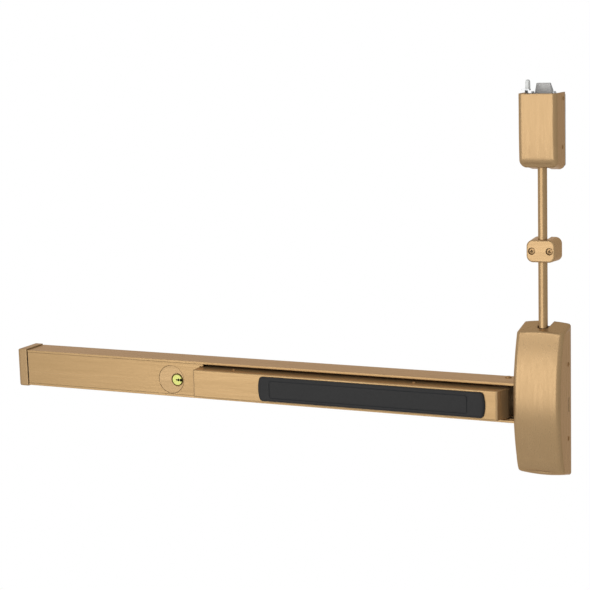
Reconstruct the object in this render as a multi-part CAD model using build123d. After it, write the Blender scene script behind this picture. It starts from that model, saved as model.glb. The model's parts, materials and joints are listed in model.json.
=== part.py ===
from build123d import *
from math import atan, cos, degrees, radians, tan
import os

# Surface vertical rod exit device for the inside face of a door.
# Millimetres. X runs along the rail towards the head, +Y points into the door, +Z is up.
# The origin is on the door face, where the rod's line crosses the middle height of the rail.
# A depth is a distance in front of the door, so it is measured along -Y.

# Clearances
fit_gap = 0.05        # radial clearance of a running fit
pin_gap = 0.15        # radial clearance of a link pin in its slot
seat_gap = 0.3        # space between pieces that are assembled side by side

# Base rail, an open channel screwed to the door
rail_height = 56.0
rail_depth = 46.0
rail_back = 2.6       # thickness of the wall on the door
rail_side = 3.2       # thickness of the top and bottom walls
rail_left = -835.0    # end of the channel under the end cap
rail_right = -30.0    # end of the channel inside the head
rib_height = 1.2      # ledge that carries the filler plate
rib_thick = 1.5

# Filler plate, the fixed length of the rail's front
filler_thick = 2.8
filler_leg = 2.0
filler_drop = 4.5     # from the plate's face to the end of its legs
filler_finger = 6.0   # how far its two fingers run past the push rail's end

# End cap and its bracket
cap_length = 17.5
cap_slit = 1.5        # open joint between the cap and the channel
cap_proud = 1.6       # how far the cap stands out over the channel
cap_wall = 2.5
cap_round = 5.6
foot_length = 14.0
tongue_length = 35.0
bracket_thick = 2.5
upstand_drop = 10.0   # from the rail's front to the far end of the bracket's upstand

# Push rail
push_left = -526.0
push_right = -51.0
push_height = 41.4
push_proud = 23.0     # how far its front stands out of the base rail
push_wall = 2.4
push_round = 1.8
push_travel = 15.0
push_end_thick = 2.0
push_slant = 9.0      # how far the right end runs on behind its front edge
push_screw_x = (-466.0, -180.0)
push_screw_drop = 18.4  # from the rail's front to its screws

# Touch pad
pad_left = -417.0
pad_right = -68.0
pad_height = 36.4
pad_thick = 3.6
pad_round = 2.0
pad_corner = 5.0
pad_bow = 3.6         # bulge of its two ends
pad_ramp = 15.0       # length over which its two ends thin out
pad_thin = 2.0        # how much thinner its ends are
panel_left_inset = 18.5  # from the pad's end to the panel line
panel_right_inset = 25.0
panel_height = 26.6
panel_corner = 4.0
groove_width = 1.3
groove_depth = 0.7

# Cylinder
collar_x = -576.0
collar_z = -2.0
collar_radius = 21.4
collar_lip = 1.1
plug_offset = 10.2    # the plug sits off the collar's centre
plug_face_radius = 8.7
plug_ring = 1.1       # open ring between the plug's face and the collar
plug_head = 6.0       # thickness of the plug's wide front part
plug_radius = 6.2
plug_depth = 13.1     # depth of the back end of the plug
barrel_radius = 12.5
barrel_back = 16.0
ring_nut_radius = 17.0
ring_nut_thick = 3.5
keyway_width = 2.0
keyway_start = -2.2   # from the plug's centre
keyway_bow = 4.0      # side of the square opening in the keyway
keyway_bow_x = 6.4
keyway_depth = 5.2
cam_length = 19.0
cam_thick = 2.5
cam_turn = 90.0

# Linkage in the rail
link_travel = 12.0
strap_width = 6.2
strap_thick = 2.0
strap_space = 6.0     # between the two straps
strap_near = rail_back + 0.5
crank_reach = 24.0    # from the crank's axis to the push pin
crank_plate = 5.0
crank_hub_radius = 5.5
crank_arm_radius = 5.0
push_pin_x = (-482.0, -175.0)
link_pin_radius = 2.0
pivot_radius = 3.0
ear_inner = 9.5       # half the space between the two ears of a crank bracket
ear_thick = 2.5
spring_wire = 1.2
guide_x = (-340.0, -100.0)

# Head
head_width = 67.0
head_height = 220.0
head_depth = 58.0     # at mid height
head_end_depth = 38.0 # at the top and bottom front edges
head_top_lean = 8.5   # how far the top leans in from the door to its front edge
head_low_lean = 12.8  # the same of the underside
head_arch = 2.8
head_side_round = 7.0
head_end_round = 4.0
head_crown = 1.6      # bulge of the front across its width
head_wall = 2.5
rod_slot_gap = 2.0    # around the rod in the head's top
rod_slot_flare = 1.6  # how much wider the slot is at the door on each side
head_screw_z = 52.5
head_screw_depth = 11.0
window_z = -4.0
window_length = 21.0
window_width = 3.6
base_thick = 2.6
base_width = 59.0
base_height = 206.0
tab_thick = 2.2
head_hole_x = 40.0    # spacing of the mounting holes
head_hole_edge = 13.0 # from the plate's ends to its mounting holes
mount_hole_radius = 3.0

# Rod and its guide
rod_radius = 6.35
rod_depth = 19.6      # from the door face to the rod's axis
rod_travel = 11.5
rod_bottom = 52.0
nut_radius = 7.2
nut_height = 6.0
stud_length = 14.0    # screwed into each end of the rod
fork_stud = 13.25     # bare stud between the upper lock nut and the top fork
guide_z = 211.0
guide_width = 40.0    # at its front
guide_height = 30.5
guide_draft = 1.3     # how much wider it is at the door on each side
guide_depth = 31.0
guide_corner = 9.0
guide_round = 2.6
guide_screw_x = 12.4

# Lift crank in the head
lift_reach = 18.4     # from the crank's axis to the rod's line
lift_plate = 5.0
lift_hub_radius = 7.0
lift_stud_radius = 4.0
cheek_thick = 3.0
cheek_space = 5.6

# Top case
case_z = 320.0        # underside of the case at the door
case_height = 105.5
case_width = 54.0
case_depth = 44.0
case_lean = 11.0      # how far the underside leans in from the door to the front
case_wall = 2.0
case_round = 7.0
case_corner = 9.0
case_hole_x = 36.0
case_hole_edge = 9.0  # from the plate's end and the cheeks' feet to the mounting holes
case_screw_drops = (8.5, 73.5)   # from the top of the case
case_screw_depths = (9.5, 13.0)
case_screw_radius = 1.5
case_screw_head = 2.6
cheek_outer = 16.2    # half width over the two cheeks that carry the bolt
case_cheek = 2.0
cheek_rise = 1.5      # how far the cheeks stand above the case
cheek_tip = 17.0      # depth of the cheeks' front

# Latch bolt
bolt_axis_depth = 7.3
bolt_axis_drop = 24.0 # from the top of the case to the bolt's axis
bolt_pin_radius = 2.5
bolt_hub_radius = 4.5
bolt_top_width = 18.6
bolt_base_width = 23.2
bolt_rise = 36.6      # from its axis to its tip
bolt_front = 6.7      # from its axis to its front face
fork_cheek = 3.6
fork_inner = 3.4

# Trigger
trigger_axis_depth = 12.0
trigger_axis_drop = 21.5  # from the top of the case to the trigger's axis
trigger_x = -16.8
trigger_depth = 29.0
trigger_tip_rise = 18.1   # from the top of the case to the finger's tip
trigger_radius = 3.4
trigger_tab_rise = 3.7    # from the top of the case to the lever's tab
trigger_tab_high = 1.6
tab_gap = 0.4           # between the tab's end and the case's side wall
trigger_pin_radius = 2.0

# Sizes worked out from those above
rail_half = rail_height / 2
rail_inner = rail_half - rail_side
rib_far = rail_depth - filler_drop
push_half = push_height / 2
push_front = rail_depth + push_proud
push_inner = push_front - push_wall
link_pin_depth = strap_near + strap_width / 2
strap_far = strap_near + strap_width
push_back = strap_far + seat_gap + push_travel
crank_drop = crank_reach * link_travel / push_travel
crank_swing = degrees(atan(push_travel / 2 / crank_reach))
crank_depth = link_pin_depth + crank_drop
push_pin_depth = crank_depth + push_travel / 2
crank_x = [x - crank_reach for x in push_pin_x]
crank_link_x = [x + link_travel / 2 for x in crank_x]
lift_swing = degrees(atan(rod_travel / 2 / lift_reach))
lift_drop = lift_reach * link_travel / rod_travel
lift_x = -lift_reach
lift_z = lift_drop
lift_pin_x = lift_x + link_travel / 2
rod_pin_z = lift_z + rod_travel / 2
plug_x = collar_x + plug_offset
bolt_reach = rod_depth - bolt_axis_depth
bolt_swing = degrees(atan(rod_travel / 2 / bolt_reach))
case_top = case_z + case_height
bolt_axis_z = case_top - bolt_axis_drop
trigger_axis_z = case_top - trigger_axis_drop
fork_pin_z = bolt_axis_z + rod_travel / 2


def block(x, depth, z):
    # A box given by its two ends along X, depth and Z.
    size = (x[1] - x[0], depth[1] - depth[0], z[1] - z[0])
    middle = ((x[0] + x[1]) / 2, -(depth[0] + depth[1]) / 2, (z[0] + z[1]) / 2)
    return Pos(*middle) * Box(*size)


def slab(face, near, far):
    # A face drawn in X and Z, standing between two depths.
    return extrude(Plane.XZ.offset(near) * face, far - near)


def along(face, start, end):
    # A face drawn in Y and Z, running along X.
    return extrude(Plane.YZ.offset(start) * face, end - start)


def tower(face, low, high):
    # A face drawn in X and Y, rising along Z.
    return extrude(Plane.XY.offset(low) * face, high - low)


def pin_x(depth, z, radius, start, end):
    return along(Pos(-depth, z) * Circle(radius), start, end)


def pin_y(x, z, radius, near, far):
    return slab(Pos(x, z) * Circle(radius), near, far)


def pin_z(x, depth, radius, low, high):
    return tower(Pos(x, -depth) * Circle(radius), low, high)


def capsule(start, end, radius):
    # A flat bar with round ends between two points of a sketch.
    run = Vector(*end) - Vector(*start)
    middle = (Vector(*start) + Vector(*end)) / 2
    turn = degrees(atan(run.Y / run.X)) if abs(run.X) > 1e-9 else 90
    return Pos(middle.X, middle.Y) * Rot(0, 0, turn) * SlotCenterToCenter(run.length, 2 * radius)


def screw(shank_radius, length, head_radius, head_height):
    # A cross-recess screw standing on Z, its head above the seat at Z = 0.
    head = Cylinder(head_radius, head_height, align=(Align.CENTER, Align.CENTER, Align.MIN))
    head = fillet(head.edges().sort_by(Axis.Z)[-1], head_height * 0.45)
    blade = Box(head_radius * 1.1, head_radius * 0.28, head_height)
    cross = blade + Rot(0, 0, 90) * blade
    shank = Cylinder(shank_radius, length, align=(Align.CENTER, Align.CENTER, Align.MAX))
    return head + shank - Pos(0, 0, head_height) * cross


def facing(piece, place, direction):
    # Turns a piece that stands on Z to face a direction at a place.
    return Plane(origin=place, z_dir=direction) * piece


def torsion_spring(radius, wire, pitch, turns, start_leg, end_leg):
    # A round coil about Z with a straight leg off each end.
    height = pitch * turns
    path = Helix(pitch, height, radius)
    section = Plane(path @ 0, z_dir=path % 0) * Circle(wire / 2)
    coil = sweep(section, path=path, is_frenet=True)
    near_leg = extrude(Plane(path @ 0, z_dir=(path % 0) * -1) * Circle(wire / 2), start_leg)
    far_leg = extrude(Plane(path @ 1, z_dir=path % 1) * Circle(wire / 2), end_leg)
    return coil + near_leg + far_leg


def mirrored(piece):
    # The piece and its mirror image below the rail's middle height.
    return [piece, mirror(piece, Plane.XY)]


nodes = {}


def keep(name, *pieces):
    # One node: a single solid, or a group of separate like solids.
    solids = [solid for piece in pieces for solid in piece.solids()]
    nodes[name] = solids[0] if len(solids) == 1 else Compound(solids)


# Base rail
channel = block((rail_left, rail_right), (0, rail_depth), (-rail_half, rail_half))
channel -= block((rail_left - 1, rail_right + 1), (rail_back, rail_depth + 1), (-rail_inner, rail_inner))
rib = block(
    (rail_left, rail_right),
    (rib_far - rib_thick, rib_far),
    (rail_inner - rib_height, rail_inner),
)
for ledge in mirrored(rib):
    channel += ledge
rail_screw_x = -54.5
rail_screw_depth = 8.0
rail_screw_radius = 2.0
rail_screw_head = 4.6
end_screw_x = rail_left + 20
end_screw_z = 15.0
small_screw_radius = 1.6
for side in (1, -1):
    hole = rail_screw_radius + fit_gap
    channel -= pin_z(rail_screw_x, rail_screw_depth, hole, -rail_half - 1, rail_half + 1)
    channel -= pin_y(end_screw_x, side * end_screw_z, small_screw_radius + fit_gap, -1, rail_back + 1)
crank_foot_z = 16.0
crank_rivet_dx = (-9.0, 4.0)
guide_rivet_z = 12.0
rivet_radius = 1.6
rivet_head = 2.8
rivet_places = [(x + dx, z) for x in crank_x for dx in crank_rivet_dx for z in (crank_foot_z, -crank_foot_z)]
rivet_places += [(x, z) for x in guide_x for z in (guide_rivet_z, -guide_rivet_z)]
for x, z in rivet_places:
    channel -= pin_y(x, z, rivet_radius + fit_gap, -1, rail_back + 1)
keep("base_rail", channel)

# Filler plate with its two legs and the two fingers beside the push rail
collar_gap = 0.3
filler_left = rail_left + seat_gap
filler_right = push_left - 0.6
filler_half = rail_inner - seat_gap
filler = block(
    (filler_left, filler_right),
    (rail_depth - filler_thick, rail_depth),
    (-filler_half, filler_half),
)
filler += block(
    (filler_right, filler_right + filler_finger),
    (rail_depth - filler_thick, rail_depth),
    (-filler_half, filler_half),
)
filler -= block(
    (filler_right, filler_right + filler_finger + 1),
    (0, rail_depth + 1),
    (-push_half - 0.6, push_half + 0.6),
)
leg = block(
    (filler_left, filler_right),
    (rib_far, rail_depth),
    (filler_half - filler_leg, filler_half),
)
for piece in mirrored(leg):
    filler += piece
filler -= pin_y(collar_x, collar_z, collar_radius + collar_gap, 0, rail_depth + 1)
keep("rail_filler_plate", filler)

# Cylinder collar, barrel, ring nut, plug and cam
filler_back = rail_depth - filler_thick
collar_back = filler_back - 2.0
barrel_front = filler_back - 0.2
lip_half = filler_half - filler_leg - seat_gap
collar = pin_y(collar_x, collar_z, collar_radius, filler_back, rail_depth)
lip = pin_y(collar_x, collar_z, collar_radius + collar_lip, collar_back, filler_back)
collar_ends = (collar_x - 2 * collar_radius, collar_x + 2 * collar_radius)
collar += lip & block(collar_ends, (0, rail_depth), (-lip_half, lip_half))
collar -= pin_y(plug_x, collar_z, plug_face_radius + plug_ring, 0, rail_depth + 1)
collar -= pin_y(plug_x, collar_z, barrel_radius + fit_gap, 0, barrel_front)
collar = chamfer(collar.faces().sort_by(Axis.Y)[0].edges(), 0.4)
keep("cylinder_collar", collar)

plug_shoulder = rail_depth - plug_head
barrel = pin_y(plug_x, collar_z, barrel_radius, barrel_back, barrel_front)
barrel -= pin_y(plug_x, collar_z, plug_radius + fit_gap, 0, rail_depth)
barrel -= pin_y(plug_x, collar_z, plug_face_radius + fit_gap, plug_shoulder - 0.2, rail_depth)
keep("cylinder_barrel", barrel)

ring_nut = pin_y(plug_x, collar_z, ring_nut_radius, collar_back - ring_nut_thick, collar_back)
ring_nut -= pin_y(plug_x, collar_z, barrel_radius + fit_gap, 0, rail_depth)
notch_size = 3.0
for turn in range(6):
    notch = Rot(0, turn * 60, 0) * Pos(ring_nut_radius, 0, 0) * Box(notch_size, 4 * rail_depth, notch_size)
    ring_nut -= Pos(plug_x, 0, collar_z) * notch
keep("cylinder_ring_nut", ring_nut)

plug_front = rail_depth + 0.4
tail_width = 5.0
tail_half = 1.5
plug = pin_y(plug_x, collar_z, plug_face_radius, plug_shoulder, plug_front)
plug = chamfer(plug.faces().sort_by(Axis.Y)[0].edges(), 0.7)
plug += pin_y(plug_x, collar_z, plug_radius, plug_depth, plug_shoulder)
plug += block(
    (plug_x - tail_width, plug_x + tail_width),
    (plug_depth - cam_thick, plug_depth),
    (collar_z - tail_half, collar_z + tail_half),
)
keyway_length = plug_face_radius + 1 - keyway_start
keyway = Pos(plug_x + keyway_start + keyway_length / 2, collar_z) * Rectangle(keyway_length, keyway_width)
keyway += Pos(plug_x + keyway_bow_x, collar_z) * Rot(0, 0, 45) * Rectangle(keyway_bow, keyway_bow)
plug -= slab(keyway, plug_front - keyway_depth, plug_front + 1)
keep("key_plug", plug)

cam_screw_z = 4.2
cam_screw_radius = 1.0
cam = capsule((plug_x, collar_z), (plug_x, collar_z - cam_length), 3.6)
cam += Pos(plug_x, collar_z) * Circle(7)
cam_plate = slab(cam, plug_depth - cam_thick, plug_depth)
cam_plate -= block(
    (plug_x - tail_width - fit_gap, plug_x + tail_width + fit_gap),
    (0, rail_depth),
    (collar_z - tail_half - fit_gap, collar_z + tail_half + fit_gap),
)
cam_screws = []
for z in (collar_z + cam_screw_z, collar_z - cam_screw_z):
    cam_plate -= pin_y(plug_x, z, cam_screw_radius + fit_gap, 0, rail_depth)
    place = (plug_x, -(plug_depth - cam_thick), z)
    cam_screws.append(facing(screw(cam_screw_radius, cam_thick, 1.9, 1.0), place, (0, 1, 0)))
keep("cylinder_cam", cam_plate)
keep("cam_screws", *cam_screws)

# Bracket on the door under the end cap, with its tongue in the channel
foot_left = rail_left - seat_gap - foot_length
foot_half = rail_inner - 0.4
end_bracket = block((foot_left, rail_left - seat_gap), (0, rail_back + bracket_thick), (-foot_half, foot_half))
end_bracket += block(
    (rail_left - seat_gap, rail_left + tongue_length),
    (rail_back, rail_back + bracket_thick),
    (-foot_half, foot_half),
)
upstand_half = 12.0
upstand_far = rail_depth - upstand_drop
end_bracket += block(
    (foot_left, foot_left + bracket_thick),
    (rail_back, upstand_far),
    (-upstand_half, upstand_half),
)
end_hole_x = foot_left + foot_length / 2 + 1.5
end_hole_z = 17.0
cap_screw_depth = 23.0
cap_screw_radius = 2.0
for side in (1, -1):
    end_bracket -= pin_y(end_hole_x, side * end_hole_z, mount_hole_radius, -1, rail_depth)
    end_bracket -= pin_y(end_screw_x, side * end_screw_z, small_screw_radius + fit_gap, 0, rail_depth)
cap_hole = cap_screw_radius + fit_gap
end_bracket -= pin_x(cap_screw_depth, 0, cap_hole, foot_left - 1, foot_left + bracket_thick + 1)
keep("end_bracket", end_bracket)

rail_end_screws = []
for side in (1, -1):
    place = (end_screw_x, -(rail_back + bracket_thick), side * end_screw_z)
    shank = rail_back + bracket_thick - 0.3
    rail_end_screws.append(facing(screw(small_screw_radius, shank, 3.0, 1.6), place, (0, -1, 0)))
keep("rail_end_screws", *rail_end_screws)

# End cap: a shell open to the rail and to the door, with a boss for its screw
cap_right = rail_left - cap_slit
cap_left = cap_right - cap_length
cap_half = rail_half + cap_proud
cap_far = rail_depth + 0.6


def cap_form(inset, right, near):
    left = cap_left + inset
    half = cap_half - inset
    far = cap_far - inset
    middle = ((left + right) / 2, -(near + far) / 2, 0)
    form = Pos(*middle) * Box(right - left, far - near, 2 * half)
    edges = form.faces().sort_by(Axis.X)[0].edges()
    edges = [edge for edge in edges if edge.center().Y < -near - 1]
    form = fillet(edges, cap_round - inset)
    front = form.faces().sort_by(Axis.Y)[0].edges()
    front = [edge for edge in front if edge.center().X > left + cap_round + 1]
    front = [edge for edge in front if abs(edge.center().Z) > half - 1]
    return fillet(front, 1.2) if inset == 0 else form


end_cap = cap_form(0, cap_right, 0)
end_cap -= cap_form(cap_wall, cap_right + 1, -1)
boss_gap = foot_left - (cap_left + cap_wall)
end_cap += pin_x(cap_screw_depth, 0, 5.0, cap_left + cap_wall, cap_left + cap_wall + boss_gap)
end_cap -= pin_x(cap_screw_depth, 0, cap_hole, cap_left - 1, foot_left + 1)
keep("rail_end_cap", end_cap)
cap_screw = facing(screw(cap_screw_radius, foot_left - cap_left + bracket_thick, 4.0, 1.8),
                   (cap_left, -cap_screw_depth, 0), (-1, 0, 0))
keep("end_cap_screw", cap_screw)

# Push rail: a channel closed at each end by a plug plate
push_screw_depth = push_front - push_screw_drop
push_screw_radius = 1.6
push_body_left = push_left + push_end_thick
push_body_right = push_right - push_end_thick
push_rail = block((push_body_left, push_body_right), (push_back, push_front), (-push_half, push_half))
front_edges = [edge for edge in push_rail.faces().sort_by(Axis.Y)[0].edges() if abs(edge.center().Z) > 1]
push_rail = fillet(front_edges, push_round)
push_rail -= block(
    (push_left, push_right),
    (push_back - 1, push_inner),
    (-push_half + push_wall, push_half - push_wall),
)
for x in push_screw_x:
    push_rail -= pin_z(x, push_screw_depth, push_screw_radius + fit_gap, -push_half - 1, push_half + 1)
keep("push_rail", push_rail)


spigot_length = 6.0
spigot_depth = 8.0


def push_end(inner_x, outer_x, slant):
    # End piece with a spigot that fills the channel behind it. Its end face slants out to the door.
    side = 1 if outer_x > inner_x else -1
    back_x = outer_x + side * slant
    if slant:
        outline = Polyline(
            (inner_x, -push_back), (back_x, -push_back), (back_x, -rail_depth), (outer_x, -push_front),
            (inner_x, -push_front), (inner_x, -push_back),
        )
        plate = tower(make_face(outline), -push_half, push_half)
    else:
        plate = block(sorted((inner_x, outer_x)), (push_back, push_front), (-push_half, push_half))
    front = plate.faces().sort_by(Axis.Y)[0].edges()
    plate = fillet([edge for edge in front if abs(edge.center().Z) > 1], push_round)
    front = plate.faces().sort_by(Axis.Y)[0].edges()
    plate = fillet([edge for edge in front if abs(edge.center().X - outer_x) < 0.1], 0.9)
    half = push_half - push_wall - 0.1
    spigot = sorted((inner_x, inner_x - side * spigot_length))
    return plate + block(spigot, (push_inner - spigot_depth, push_inner - 0.1), (-half, half))


keep("push_rail_left_end", push_end(push_body_left, push_left, 0))
keep("push_rail_right_end", push_end(push_body_right, push_right, push_slant))

# Touch pad with bowed ends, a soft front edge and a panel line
pad_half = pad_height / 2


def bowed(left, right, half, bow):
    # A long face whose two short ends bulge outwards.
    top = Line((left, half), (right, half))
    end = ThreePointArc((right, half), (right + bow, 0), (right, -half))
    low = Line((right, -half), (left, -half))
    start = ThreePointArc((left, -half), (left - bow, 0), (left, half))
    return make_face([top, end, low, start])


pad_face = bowed(pad_left + pad_bow, pad_right - pad_bow, pad_half, pad_bow)
pad_face = fillet(pad_face.vertices(), pad_corner)
pad_front = push_front + pad_thick
pad = slab(pad_face, push_front, pad_front)
pad = fillet(pad.faces().sort_by(Axis.Y)[0].edges(), pad_round)
ramp_radius = (pad_ramp ** 2 + pad_thin ** 2) / (2 * pad_thin)
for end, side in ((pad_left, 1), (pad_right, -1)):
    ramp_x = end + side * pad_ramp
    over = pad_half + 1
    shoulder = block(sorted((end - side, ramp_x)), (push_front, pad_front + 1), (-over, over))
    pad -= shoulder - pin_z(ramp_x, pad_front - ramp_radius, ramp_radius, -over - 1, over + 1)
panel_left = pad_left + panel_left_inset
panel_right = pad_right - panel_right_inset
panel_middle = (panel_left + panel_right) / 2
panel = Pos(panel_middle, 0) * RectangleRounded(panel_right - panel_left, panel_height, panel_corner)
inner_panel = Pos(panel_middle, 0) * RectangleRounded(
    panel_right - panel_left - 2 * groove_width,
    panel_height - 2 * groove_width,
    panel_corner - groove_width,
)
pad -= slab(panel - inner_panel, pad_front - groove_depth, pad_front + 1)
keep("touch_pad", pad)

# Link bar: two straps that run the length of the mechanism
strap_left = crank_link_x[0] - 10
fork_x = lift_pin_x
strap_right = fork_x - 19.0
strap_inner = strap_space / 2
straps = []
strap = block((strap_left, strap_right), (strap_near, strap_far), (strap_inner, strap_inner + strap_thick))
for x in crank_link_x:
    strap -= pin_z(x, link_pin_depth, link_pin_radius + fit_gap, 0, 10)
fork_rivets_x = (strap_right - 8, strap_right - 26)
for x in fork_rivets_x:
    strap -= pin_z(x, link_pin_depth, rivet_radius + fit_gap, 0, 10)
keep("link_straps", *mirrored(strap))

# Pins that join the straps to the crank arms
link_pins = []
for x in crank_link_x:
    link_pin = pin_z(x, link_pin_depth, link_pin_radius, -strap_inner - strap_thick, strap_inner + strap_thick)
    for side in (1, -1):
        low = side * (strap_inner + strap_thick)
        link_pin += pin_z(x, link_pin_depth, 2.9, min(low, low + side * 1.0), max(low, low + side * 1.0))
    link_pins.append(link_pin)
keep("link_pins", *link_pins)

# Fork at the head end of the link bar
cheek_near = rod_depth - cheek_space / 2 - cheek_thick
cheek_far = rod_depth + cheek_space / 2 + cheek_thick
fork_bridge = (fork_x - 16, fork_x - 10)
fork = block((fork_bridge[0], fork_bridge[1]), (strap_near + 0.2, cheek_far), (-5, 5))
fork += block((strap_right - 34, fork_bridge[0]), (strap_near + 0.2, strap_far - 0.2), (-strap_inner, strap_inner))
fork_cheek_face = capsule((fork_x - 10, 0), (fork_x, 0), 5.5)
fork += slab(fork_cheek_face, cheek_near, cheek_far)
fork -= slab(Pos(fork_x, 0) * Rectangle(20, 20), rod_depth - cheek_space / 2, rod_depth + cheek_space / 2)
fork -= pin_y(fork_x, 0, link_pin_radius + fit_gap, 0, rail_depth)
for x in fork_rivets_x:
    fork -= pin_z(x, link_pin_depth, rivet_radius + fit_gap, -10, 10)
keep("link_fork", fork)

fork_rivets = []
for x in fork_rivets_x:
    rivet = pin_z(x, link_pin_depth, rivet_radius, -strap_inner - strap_thick, strap_inner + strap_thick)
    for side in (1, -1):
        low = side * (strap_inner + strap_thick)
        rivet += pin_z(x, link_pin_depth, 2.6, min(low, low + side * 0.9), max(low, low + side * 0.9))
    fork_rivets.append(rivet)
keep("fork_rivets", *fork_rivets)


def cross_pin(x, z, near, far, radius, head):
    # Headed pin that stands in the depth direction.
    pin = pin_y(x, z, radius, near - 1, far + 1)
    pin += pin_y(x, z, head, near - 1.2, near)
    return pin + pin_y(x, z, head, far, far + 1.2)


keep("fork_pin", cross_pin(fork_x, 0, cheek_near, cheek_far, link_pin_radius, 3.2))

# Saddles that hold the straps against the rail
saddle_half = strap_inner + strap_thick + seat_gap
saddles = []
for x in guide_x:
    saddle = block((x - 8, x + 8), (rail_back, rail_back + 2), (-guide_rivet_z - 4.5, guide_rivet_z + 4.5))
    saddle += block((x - 8, x + 8), (rail_back, strap_far + 2.3), (-saddle_half - 2, saddle_half + 2))
    saddle -= block((x - 9, x + 9), (0, strap_far + seat_gap), (-saddle_half, saddle_half))
    for side in (1, -1):
        saddle -= pin_y(x, side * guide_rivet_z, rivet_radius + fit_gap, 0, rail_depth)
    saddles.append(saddle)
keep("link_saddles", *saddles)

# Rivets through the back of the channel
channel_rivets = []
for x, z in rivet_places:
    foot = rail_back + (bracket_thick if (x, z) in rivet_places[:8] else 2)
    rivet = pin_y(x, z, rivet_radius, 0.3, foot)
    rivet += fillet(pin_y(x, z, rivet_head, foot, foot + 1.4).faces().sort_by(Axis.Y)[0].edges(), 0.8)
    channel_rivets.append(rivet)
keep("channel_rivets", *channel_rivets)

# Crank brackets and cranks, one pair behind each end of the push rail
wall_left = -14.0     # cross wall of a bracket, from the crank's axis
wall_thick = 2.0
wall_over = 2.0       # how far the wall runs on past the crank's axis
spring_radius = 7.2
spring_turns = 4
spring_pitch = (ear_inner - crank_plate / 2 - spring_wire - 2 * seat_gap) / spring_turns


def crank_bracket(x):
    # Two ears on outward feet, joined by a cross wall that clears the straps.
    ear_outer = ear_inner + ear_thick
    root = Pos(x - 2.5, -rail_back - bracket_thick / 2) * Rectangle(23, bracket_thick)
    eye = Pos(x, -crank_depth) * Circle(7.5)
    ear = tower(make_hull(root.edges() + eye.edges()), ear_inner, ear_outer)
    ear += block((x + wall_left, x), (rail_back, crank_depth + wall_over), (ear_inner, ear_outer))
    ear -= pin_z(x, crank_depth, pivot_radius + fit_gap, 0, rail_half)
    foot = block((x + wall_left, x + 9), (rail_back, rail_back + bracket_thick), (ear_inner, crank_foot_z + 4))
    for dx in crank_rivet_dx:
        foot -= pin_y(x + dx, crank_foot_z, rivet_radius + fit_gap, 0, rail_depth)
    wall = block(
        (x + wall_left, x + wall_left + wall_thick),
        (strap_far + 1, crank_depth + wall_over),
        (-ear_outer, ear_outer),
    )
    bracket = wall
    for piece in mirrored(ear + foot):
        bracket += piece
    return bracket


def crank_slot(drop, swing, radius):
    # Length of the slot that lets a pin on a straight path drive a swinging arm.
    return SlotCenterToCenter(drop / cos(radians(swing)) - drop + 0.4, 2 * (radius + pin_gap))


def rail_crank(x):
    # Drawn at mid swing about the origin, then turned back to its rest position.
    reach_far = crank_reach / cos(radians(crank_swing))
    drop_tip = crank_drop + link_pin_radius + 0.6
    plate = capsule((0, 0), (reach_far, 0), crank_arm_radius)
    plate += Pos(0, drop_tip / 2) * Rectangle(8.4, drop_tip)
    plate += Circle(crank_hub_radius + 1)
    plate -= Pos((crank_reach + reach_far) / 2, 0) * crank_slot(crank_reach, crank_swing, link_pin_radius)
    mouth = drop_tip - crank_drop + link_pin_radius + 1
    mouth_low = crank_drop - link_pin_radius - 0.4
    plate -= Pos(0, mouth_low + mouth) * Rectangle(2 * (link_pin_radius + pin_gap), 2 * mouth)
    body = tower(plate, -crank_plate / 2, crank_plate / 2)
    body += Cylinder(crank_hub_radius, 2 * (ear_inner - seat_gap))
    body -= Cylinder(pivot_radius + fit_gap, 4 * ear_inner)
    return Pos(x, -crank_depth, 0) * Rot(0, 0, -crank_swing) * body


def pivot_pin(x):
    ear_outer = ear_inner + ear_thick
    pin = pin_z(x, crank_depth, pivot_radius, -ear_outer, ear_outer)
    for side in (1, -1):
        ends = sorted((side * ear_outer, side * (ear_outer + 1.2)))
        pin += pin_z(x, crank_depth, pivot_radius + 1.4, *ends)
    return pin


def crank_spring(x):
    wall_leg = -wall_left - wall_thick - seat_gap
    coil = torsion_spring(spring_radius, spring_wire, spring_pitch, spring_turns, crank_reach / 2, wall_leg)
    return Pos(x, -crank_depth, crank_plate / 2 + spring_wire / 2 + seat_gap) * Rot(0, 0, 90) * coil


keep("left_crank", rail_crank(crank_x[0]))
keep("right_crank", rail_crank(crank_x[1]))
keep("crank_brackets", *[crank_bracket(x) for x in crank_x])
keep("crank_pivots", *[pivot_pin(x) for x in crank_x])
keep("crank_springs", *[crank_spring(x) for x in crank_x])

# Push brackets inside the push rail, each with two ears for the push pin
push_ear_inner = crank_plate / 2 + 0.5
push_ear_thick = 2.5
push_flange_half = push_half - push_wall - 0.1
web_thick = 2.2


def push_bracket(x, screw_x):
    # Plate behind the push rail's front with two screwed flanges and two ears for the push pin.
    plate = (min(x, screw_x) - 11, max(x, screw_x) + 11)
    web = block(plate, (push_inner - web_thick, push_inner), (-push_flange_half, push_flange_half))
    flange = block(
        (screw_x - 8, screw_x + 8),
        (push_screw_depth - 6, push_inner),
        (push_flange_half - web_thick, push_flange_half),
    )
    flange -= pin_z(screw_x, push_screw_depth, push_screw_radius + fit_gap, 0, push_half)
    root = Pos(x, -push_inner + web_thick / 2) * Rectangle(18, web_thick)
    eye = Pos(x, -push_pin_depth) * Circle(5.5)
    ear = tower(make_hull(root.edges() + eye.edges()), push_ear_inner, push_ear_inner + push_ear_thick)
    ear -= pin_z(x, push_pin_depth, link_pin_radius + fit_gap, 0, push_half)
    for piece in mirrored(flange + ear):
        web += piece
    return web


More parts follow.
